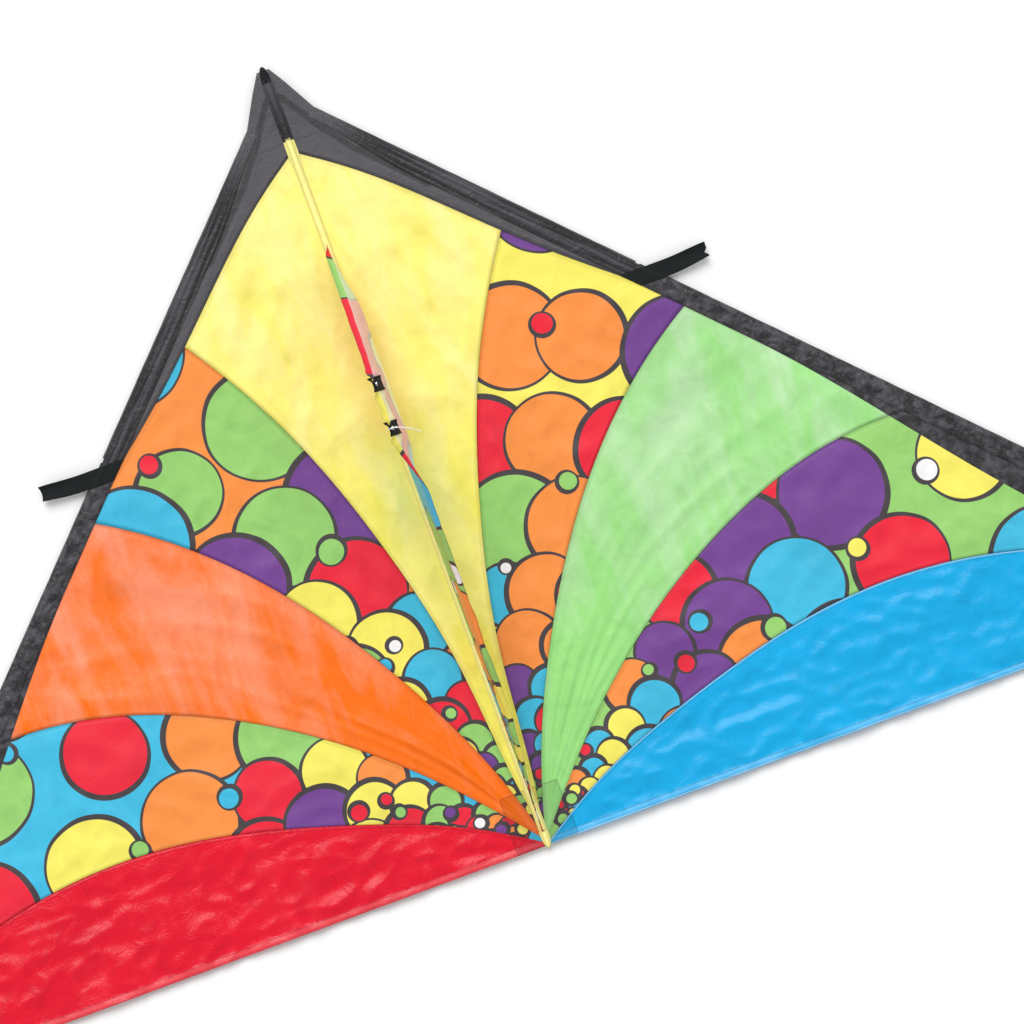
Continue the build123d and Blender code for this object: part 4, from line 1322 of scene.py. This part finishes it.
def keel_lean(down, share):
    """How far to the right the keel's cloth leans, at a share of its depth."""
    front = 19.0 * np.sin(pi * np.clip(share, 0, 1) ** 0.8) * ease(down, 335, 470)
    rear = (13.0 * share**1.15 + 9.0 * ease(share, 0.9, 1.0)) * (1 - ease(down, 1180, 1430))
    blend = ease(down, 690, 800)
    wave = 2.2 * ripple(down / 70, share * 2.0, 61) * share + 1.0 * ripple(down / 26, share * 3.0, 62) * share
    calm = 1 - 0.8 * np.exp(-(((down - 635) / 60) ** 2))
    below = (1 - share) * (KEEL_TOP - KEEL_FOOT)
    near = np.min([np.abs(down - place) for place in TOW_DOWN.values()], axis=0)
    tilt = (1 - ease(near, 15, 34)) * (1 - ease(below, 30, 70))
    lean = front * (1 - blend) + rear * blend + wave * calm * ease(down, 340,
        420) * (1 - ease(down, 1350, 1438))
    return lean * (1 - tilt) + np.minimum(-4.0 + 0.44 * below, 10.0) * tilt


class KITE_OT_keel(bpy.types.Operator):
    """Makes the keel, printed on its left face, with a hem turned over on its free edge"""

    bl_idname = "kite.keel"
    bl_label = "Keel"

    def execute(self, context):
        downs = np.linspace(331, LENGTH - POCKET - 1, 232)[:, None]
        depth = keel_depth(downs)
        hem = np.minimum(KEEL_HEM, depth * 0.6)
        up = np.hstack([(depth - hem) * np.linspace(0, 1, 36),
            depth - hem * np.array([0.75, 0.5, 0.25, 0.0])])
        run, depth, hem = (part * np.ones_like(up) for part in (downs, depth, hem))
        over = np.clip((up - depth + hem) / hem, 0, 1) * keel_bend(run)
        lean = keel_lean(run, up / depth) - 8.0 * over
        points = np.stack([lean, NOSE_Y / MM - run, KEEL_FOOT - 0.9 + up - 4.0 * over], axis=-1)
        cut, seam = np.stack([run, up], axis=-1), np.stack([run, depth - up], axis=-1)
        piece = grid_piece("keel_cloth", points, {"Cut": cut, "Seam": seam})

        def eyelet_holes(shape):
            edge = shape.loops.layers.uv["Seam"]
            for face in shape.faces:
                if sum(corner[edge].uv.y for corner in face.loops) / len(face.loops) < KEEL_HEM * MM:
                    face.material_index = 1
            for down in TOW_DOWN.values():
                centre = Vector((0, NOSE_Y - down * MM, KEEL_TOP * MM - TOW_BELOW * MM))
                near = [face for face in shape.faces if (Vector((0, *face.calc_center_median()[1:]))
                    - centre).length < 8 * MM]
                bmesh.ops.delete(shape, geom=near, context="FACES")

        reshape(piece, eyelet_holes)
        thicken(piece, 0.5, [finish("keel_reverse"), finish("keel")], 0.0)
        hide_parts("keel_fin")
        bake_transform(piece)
        return {"FINISHED"}


class KITE_OT_tow_tabs(bpy.types.Operator):
    """Makes the webbing tow tabs, folded over the keel's free edge"""

    bl_idname = "kite.tow_tabs"
    bl_label = "Tow tabs"

    def execute(self, context):
        width, depth = TOW_TAB
        for name, down in TOW_DOWN.items():
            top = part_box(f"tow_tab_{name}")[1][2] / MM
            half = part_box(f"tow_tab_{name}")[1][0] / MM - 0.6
            rise = np.concatenate([np.linspace(0, depth - 3, 26), [depth - 2.2, depth - 1.4, depth - 0.8]])
            left = [(-half, top - depth + r) for r in rise]
            arch = [(-half * cos(radians(a)), top - 1.3 + 0.7 * sin(radians(a)))
                for a in (30, 60, 90, 120, 150)]
            section = np.array(left + arch + [(-x, z) for x, z in reversed(left)])
            across = np.linspace(-width / 2, width / 2, 24)[:, None]
            run = across * np.ones((1, len(section)))
            lean = keel_lean(down + run, np.clip((section[None, :, 1] - KEEL_FOOT) / (KEEL_TOP - KEEL_FOOT),
                0, 1) * np.ones_like(run))
            upper = ease(section[None, :, 1] * np.ones_like(run), top - 20, top - 2)
            flare = -upper * (6.0 * ease(-run, 4, 13) + 2.0 * ease(run, 6, 13)) + (1
                - upper) * 1.5 * ease(np.abs(run), 5, 13)
            points = np.stack([section[None, :, 0] + lean + flare, NOSE_Y / MM - down - run,
                section[None, :, 1] * np.ones_like(run)], axis=-1)
            lengths = np.concatenate([[0], np.cumsum(np.hypot(*np.diff(section, axis=0).T))])[None,
                :] * np.ones_like(run)
            cut = np.stack([lengths, run], axis=-1)
            seam = np.stack([run, np.minimum(lengths, lengths.max() - lengths)], axis=-1)
            piece = grid_piece(f"tow_tab_webbing_{name}", points, {"Cut": cut, "Seam": seam}, -1)
            centre = Vector((0, NOSE_Y - down * MM, (KEEL_TOP - TOW_BELOW) * MM))

            def eyelet_hole(shape):
                near = [face for face in shape.faces if (Vector((0, *face.calc_center_median()[1:]))
                    - centre).length < 4.3 * MM]
                bmesh.ops.delete(shape, geom=near, context="FACES")

            reshape(piece, eyelet_hole)
            thicken(piece, context.scene.kite_trim.webbing_ply / MM, [finish("webbing")], 0.0)
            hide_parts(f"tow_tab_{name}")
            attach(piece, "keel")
        return {"FINISHED"}


# ---- Pull tabs ----


class KITE_OT_pull_tabs(bpy.types.Operator):
    """Makes the webbing pull tabs, sewn across the sleeves and free past the leading edge"""

    bl_idname = "kite.pull_tabs"
    bl_label = "Pull tabs"

    def execute(self, context):
        across = np.linspace(-1, 1, 15)
        for hand, side in HANDS:
            rows = []
            for v in across:
                down = SPREADER + TAB_HALF * v
                root, rim = edge_out(down, SLEEVE), edge_out(down)
                sewn = np.concatenate([np.linspace(root, rim - 2, 15), [rim - 0.6, rim + 0.8, rim + 3]])
                notch = 6.5 * max(0.0, 1 - abs(v - 0.35) / 0.45) if side > 0 else 2.5 * (1 - v * v)
                end = TAB_END - notch
                free = np.linspace(rim + 8, end, 16)
                rows.append(np.stack([np.concatenate([sewn, free]), np.full(len(sewn) + len(free), down)],
                    axis=-1))
            cut = np.array(rows).transpose(1, 0, 2)
            v = across[None, :] * np.ones(cut.shape[:2])
            out, down = cut[..., 0], cut[..., 1]
            past = out - (SHOULDER[0] + (down - SHOULDER[1]) * EDGE_OUT / EDGE_DOWN)
            inward = -past * EDGE_DOWN
            along = (out - SHOULDER[0]) * EDGE_OUT + (down - SHOULDER[1]) * EDGE_DOWN
            front = np.array(SLEEVE_FRONT)[::-1]
            sleeve = np.interp(np.clip(inward, 3, 35), front[:, 0],
                front[:, 1]) + 1.1 * np.exp(-(((inward - 10) / 4) ** 2)) + 0.9 * np.exp(-(((inward - 23)
                    / 4) ** 2))
            u = np.clip(past / 100, 0, 1)
            level = np.where(past < -4, sleeve + 1.2, 13.4)
            level = level * (1 - ease(past, -6, 2)) + ease(past, -6, 2) * (13.4 + 2.0 * np.sin(u * pi))
            curl = ease(past, 4, 90)
            level = level + curl * (5.5 * v * v - 1.0 * u) + 0.5 * ripple(out / 15, down / 11,
                81) * ease(past, 2, 12)
            centre = SPREADER - side * 0 - 7.0 * curl * u
            seen = centre + (down - SPREADER) * (1 - 0.22 * curl)
            points = np.stack([side * out, NOSE_Y / MM - seen, level], axis=-1)
            start = out.min()
            maps = {"Cut": np.stack([out - start, down - SPREADER + TAB_HALF], axis=-1),
                "Seam": np.stack([down, np.minimum(out - start, np.abs(past + 3) + 3 * (past > 0))], axis=-1)}
            piece = grid_piece(f"pull_tab_webbing_{hand}", points, maps, side)
            reshape(piece, merge_only)
            thicken(piece, context.scene.kite_trim.webbing_ply / MM, [finish("webbing")])
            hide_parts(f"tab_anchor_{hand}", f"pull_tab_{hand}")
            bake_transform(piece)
        return {"FINISHED"}


# ---- String at the rear tow tab ----


class KITE_OT_string(bpy.types.Operator):
    """Makes the white string through the rear tow tab: its ring, its knot and its free end"""

    bl_idname = "kite.string"
    bl_label = "String"

    def execute(self, context):
        knot = (KNOT[0] + KNOT[1]) / 2
        route = [knot + Vector(step) for step in STRING_TAIL]
        curve = bpy.data.curves.new("string_tail_line", "CURVE")
        curve.dimensions = "3D"
        curve.bevel_depth = 0.9 * MM
        curve.bevel_resolution = 4
        curve.resolution_u = 12
        curve.use_fill_caps = True
        spline = curve.splines.new("NURBS")
        spline.points.add(len(route) - 1)
        for point, place in zip(spline.points, route):
            point.co = (*(place * MM), 1)
        spline.order_u = 3
        spline.use_endpoint_u = True
        tail = new_object("string_tail_line", curve)
        curve.materials.append(finish("string"))
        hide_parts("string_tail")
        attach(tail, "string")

        centre = (RING[0] + RING[1]) / 2 * MM
        loop = self.ring("string_ring_loop", centre, (RING[1].x - RING[0].x) / 2 * MM - 0.9 * MM, 0.9 * MM,
            (0, 1, 0), 56)
        self.put(loop, "string_ring")
        wraps = [self.ring(f"wrap {k}", knot * MM, 1.45 * MM, 0.95 * MM, axis, 24) for k,
            axis in enumerate(((1, 0.2, 0.3), (0.1, 1, -0.4), (-0.5, 0.3, 1)))]
        body = bmesh.new()
        for wrap in wraps:
            body.from_mesh(wrap.data)
            bpy.data.objects.remove(wrap)
        mesh = bpy.data.meshes.new("string_knot_wraps")
        body.to_mesh(mesh)
        body.free()
        wrapped = new_object("string_knot_wraps", mesh)
        mesh.polygons.foreach_set("use_smooth", [True] * len(mesh.polygons))
        self.put(wrapped, "string_knot")
        return {"FINISHED"}

    @staticmethod
    def ring(name, centre, radius, thickness, axis, steps):
        """A closed ring of string about an axis through its centre."""
        axis = Vector(axis).normalized()
        reach = axis.orthogonal().normalized()
        shape = bmesh.new()
        circle = bmesh.ops.create_circle(shape, segments=10, radius=thickness, cap_ends=False)["verts"]
        turn = Vector((0, 0, 1)).rotation_difference(axis.cross(reach))
        bmesh.ops.rotate(shape, verts=circle, cent=(0, 0, 0), matrix=turn.to_matrix())
        bmesh.ops.translate(shape, verts=circle, vec=Vector(centre) + reach * radius)
        geometry = shape.verts[:] + shape.edges[:]
        bmesh.ops.spin(shape, geom=geometry, cent=centre, axis=axis, angle=2 * pi, steps=steps,
            use_merge=True)
        bmesh.ops.recalc_face_normals(shape, faces=shape.faces)
        mesh = bpy.data.meshes.new(name)
        shape.to_mesh(mesh)
        shape.free()
        mesh.polygons.foreach_set("use_smooth", [True] * len(mesh.polygons))
        return new_object(name, mesh)

    @staticmethod
    def put(piece, node):
        """Gives a string piece its finish and its body."""
        piece.data.materials.append(finish("string"))
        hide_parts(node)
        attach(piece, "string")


# ---- Frame ----


class KITE_OT_spreader_tube(bpy.types.Operator):
    """Makes the two halves of the flexible tube that joins the spreader at the spine"""

    bl_idname = "kite.spreader_tube"
    bl_label = "Spreader tube"

    def execute(self, context):
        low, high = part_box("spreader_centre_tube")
        centre_y, centre_z = (low[1] + high[1]) / 2, (low[2] + high[2]) / 2
        radius, reach = (high[2] - low[2]) / 2, high[0]
        for hand, side in HANDS:
            shape = bmesh.new()
            rings = bmesh.ops.create_circle(shape, segments=32, radius=radius)["verts"]
            bmesh.ops.rotate(shape, verts=rings, cent=(0, 0, 0),
                matrix=Vector((0, 0, 1)).rotation_difference(Vector((side, 0, 0))).to_matrix())
            bmesh.ops.translate(shape, verts=rings, vec=(0, centre_y, centre_z))
            edges = shape.edges[:]
            for step in range(24):
                grown = bmesh.ops.extrude_edge_only(shape, edges=edges)["geom"]
                edges = [item for item in grown if isinstance(item, bmesh.types.BMEdge)]
                moved = [item for item in grown if isinstance(item, bmesh.types.BMVert)]
                bmesh.ops.translate(shape, verts=moved, vec=(side * reach / 24, 0, 0))
            bmesh.ops.recalc_face_normals(shape, faces=shape.faces)
            mesh = bpy.data.meshes.new(f"spreader_tube_{hand}")
            shape.to_mesh(mesh)
            shape.free()
            piece = new_object(f"spreader_tube_{hand}", mesh)
            thicken(piece, 1.6, [finish("vinyl")])
            if side > 0:
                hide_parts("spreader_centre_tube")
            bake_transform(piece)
        return {"FINISHED"}


FRAME_FINISHES = {
    "spar_rod": "rod",
    "ferrule_metal": "metal",
    "cap_rubber": "rubber",
    "fitting_plastic": "plastic",
    "vinyl_black": "vinyl",
    "eyelet_metal": "eyelet",
}


class KITE_OT_frame_finishes(bpy.types.Operator):
    """Gives the rods, ferrules, caps, fittings and eyelets their finishes"""

    bl_idname = "kite.frame_finishes"
    bl_label = "Frame finishes"

    def execute(self, context):
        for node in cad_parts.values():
            for holder in node.material_slots:
                slot = holder.material.name.split(".")[0] if holder.material else ""
                if slot in FRAME_FINISHES:
                    holder.material = finish(FRAME_FINISHES[slot])
        return {"FINISHED"}


class KITE_OT_groups(bpy.types.Operator):
    """Builds the shader groups that the finishes share"""

    bl_idname = "kite.groups"
    bl_label = "Shared effects"

    def execute(self, context):
        GROUPS["relief"] = make_relief_group()
        GROUPS["fade"] = make_fade_group()
        GROUPS["stitch"] = make_stitch_group()
        GROUPS["disc"] = make_disc_group()
        GROUPS["webbing"] = make_webbing_group()
        GROUPS["wear"] = make_wear_group()
        return {"FINISHED"}


# ---- Stage ----


class KITE_OT_stage(bpy.types.Operator):
    """Makes the floor, the soft lights and the camera"""

    bl_idname = "kite.stage"
    bl_label = "Stage"

    def execute(self, context):
        stage = context.scene.kite_stage
        shape = bmesh.new()
        bmesh.ops.create_grid(shape, x_segments=2, y_segments=2, size=stage.floor)
        mesh = bpy.data.meshes.new("floor")
        shape.to_mesh(mesh)
        shape.free()
        floor = new_object("floor", mesh)
        material, tree, shader = start_material("Pale floor")
        shader.inputs["Base Color"].default_value = (0.93, 0.93, 0.93, 1)
        shader.inputs["Roughness"].default_value = 0.9
        shader.inputs["Specular IOR Level"].default_value = 0.1
        mesh.materials.append(material)

        world = bpy.data.worlds.new("Even light")
        world.use_nodes = True
        world.node_tree.nodes["Background"].inputs["Color"].default_value = (1, 1, 1, 1)
        world.node_tree.nodes["Background"].inputs["Strength"].default_value = stage.sky
        context.scene.world = world
        light = bpy.data.lights.new("key", "SUN")
        light.energy = stage.key
        light.angle = stage.spread
        lamp = new_object("key", light)
        lamp.rotation_euler = (Vector((0, 0, 0)) - Vector((-0.1, 2.2, 2.8))).to_track_quat("-Z",
            "Y").to_euler()

        lens = bpy.data.cameras.new("camera")
        lens.sensor_width = 36
        lens.lens = 36 * stage.height / stage.frame_width
        lens.clip_end = 100
        camera = new_object("camera", lens)
        camera.location = (*stage.centre, SAIL_TOP * MM + stage.height)
        camera.rotation_euler = (0, 0, stage.turn)
        context.scene.camera = camera
        context.scene.view_settings.view_transform = "Standard"
        return {"FINISHED"}


class KITE_PT_panel(bpy.types.Panel):
    """The kite's pieces, in the order that they are made"""

    bl_idname = "KITE_PT_panel"
    bl_label = "Delta kite"
    bl_space_type = "VIEW_3D"
    bl_region_type = "UI"
    bl_category = "Kite"

    def draw(self, context):
        for group in (context.scene.kite_cloth, context.scene.kite_trim, context.scene.kite_stage):
            box = self.layout.box()
            for label in group.__annotations__:
                box.prop(group, label)
        for operator in STEPS:
            self.layout.operator(operator.bl_idname)


STEPS = (
    KITE_OT_stage,
    KITE_OT_groups,
    KITE_OT_string,
    KITE_OT_sleeves,
    KITE_OT_nose_panels,
    KITE_OT_yellow_panels,
    KITE_OT_printed_panels,
    KITE_OT_petals,
    KITE_OT_tails,
    KITE_OT_patches,
    KITE_OT_tip_pockets,
    KITE_OT_tunnel,
    KITE_OT_keel,
    KITE_OT_tow_tabs,
    KITE_OT_pull_tabs,
    KITE_OT_spreader_tube,
    KITE_OT_frame_finishes,
)
CLASSES = (KITE_PG_cloth, KITE_PG_trim, KITE_PG_stage, *STEPS, KITE_PT_panel)


def register():
    """Adds the classes and their properties to Blender."""
    for item in CLASSES:
        bpy.utils.register_class(item)
    bpy.types.Scene.kite_cloth = bpy.props.PointerProperty(type=KITE_PG_cloth)
    bpy.types.Scene.kite_trim = bpy.props.PointerProperty(type=KITE_PG_trim)
    bpy.types.Scene.kite_stage = bpy.props.PointerProperty(type=KITE_PG_stage)


def unregister():
    """Takes the classes and their properties away again."""
    for label in ("kite_cloth", "kite_trim", "kite_stage"):
        delattr(bpy.types.Scene, label)
    for item in reversed(CLASSES):
        bpy.utils.unregister_class(item)


def main():
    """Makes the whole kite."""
    register()
    for step in STEPS:
        group, name = step.bl_idname.split(".")
        getattr(getattr(bpy.ops, group), name)()


if __name__ == "__main__":
    main()
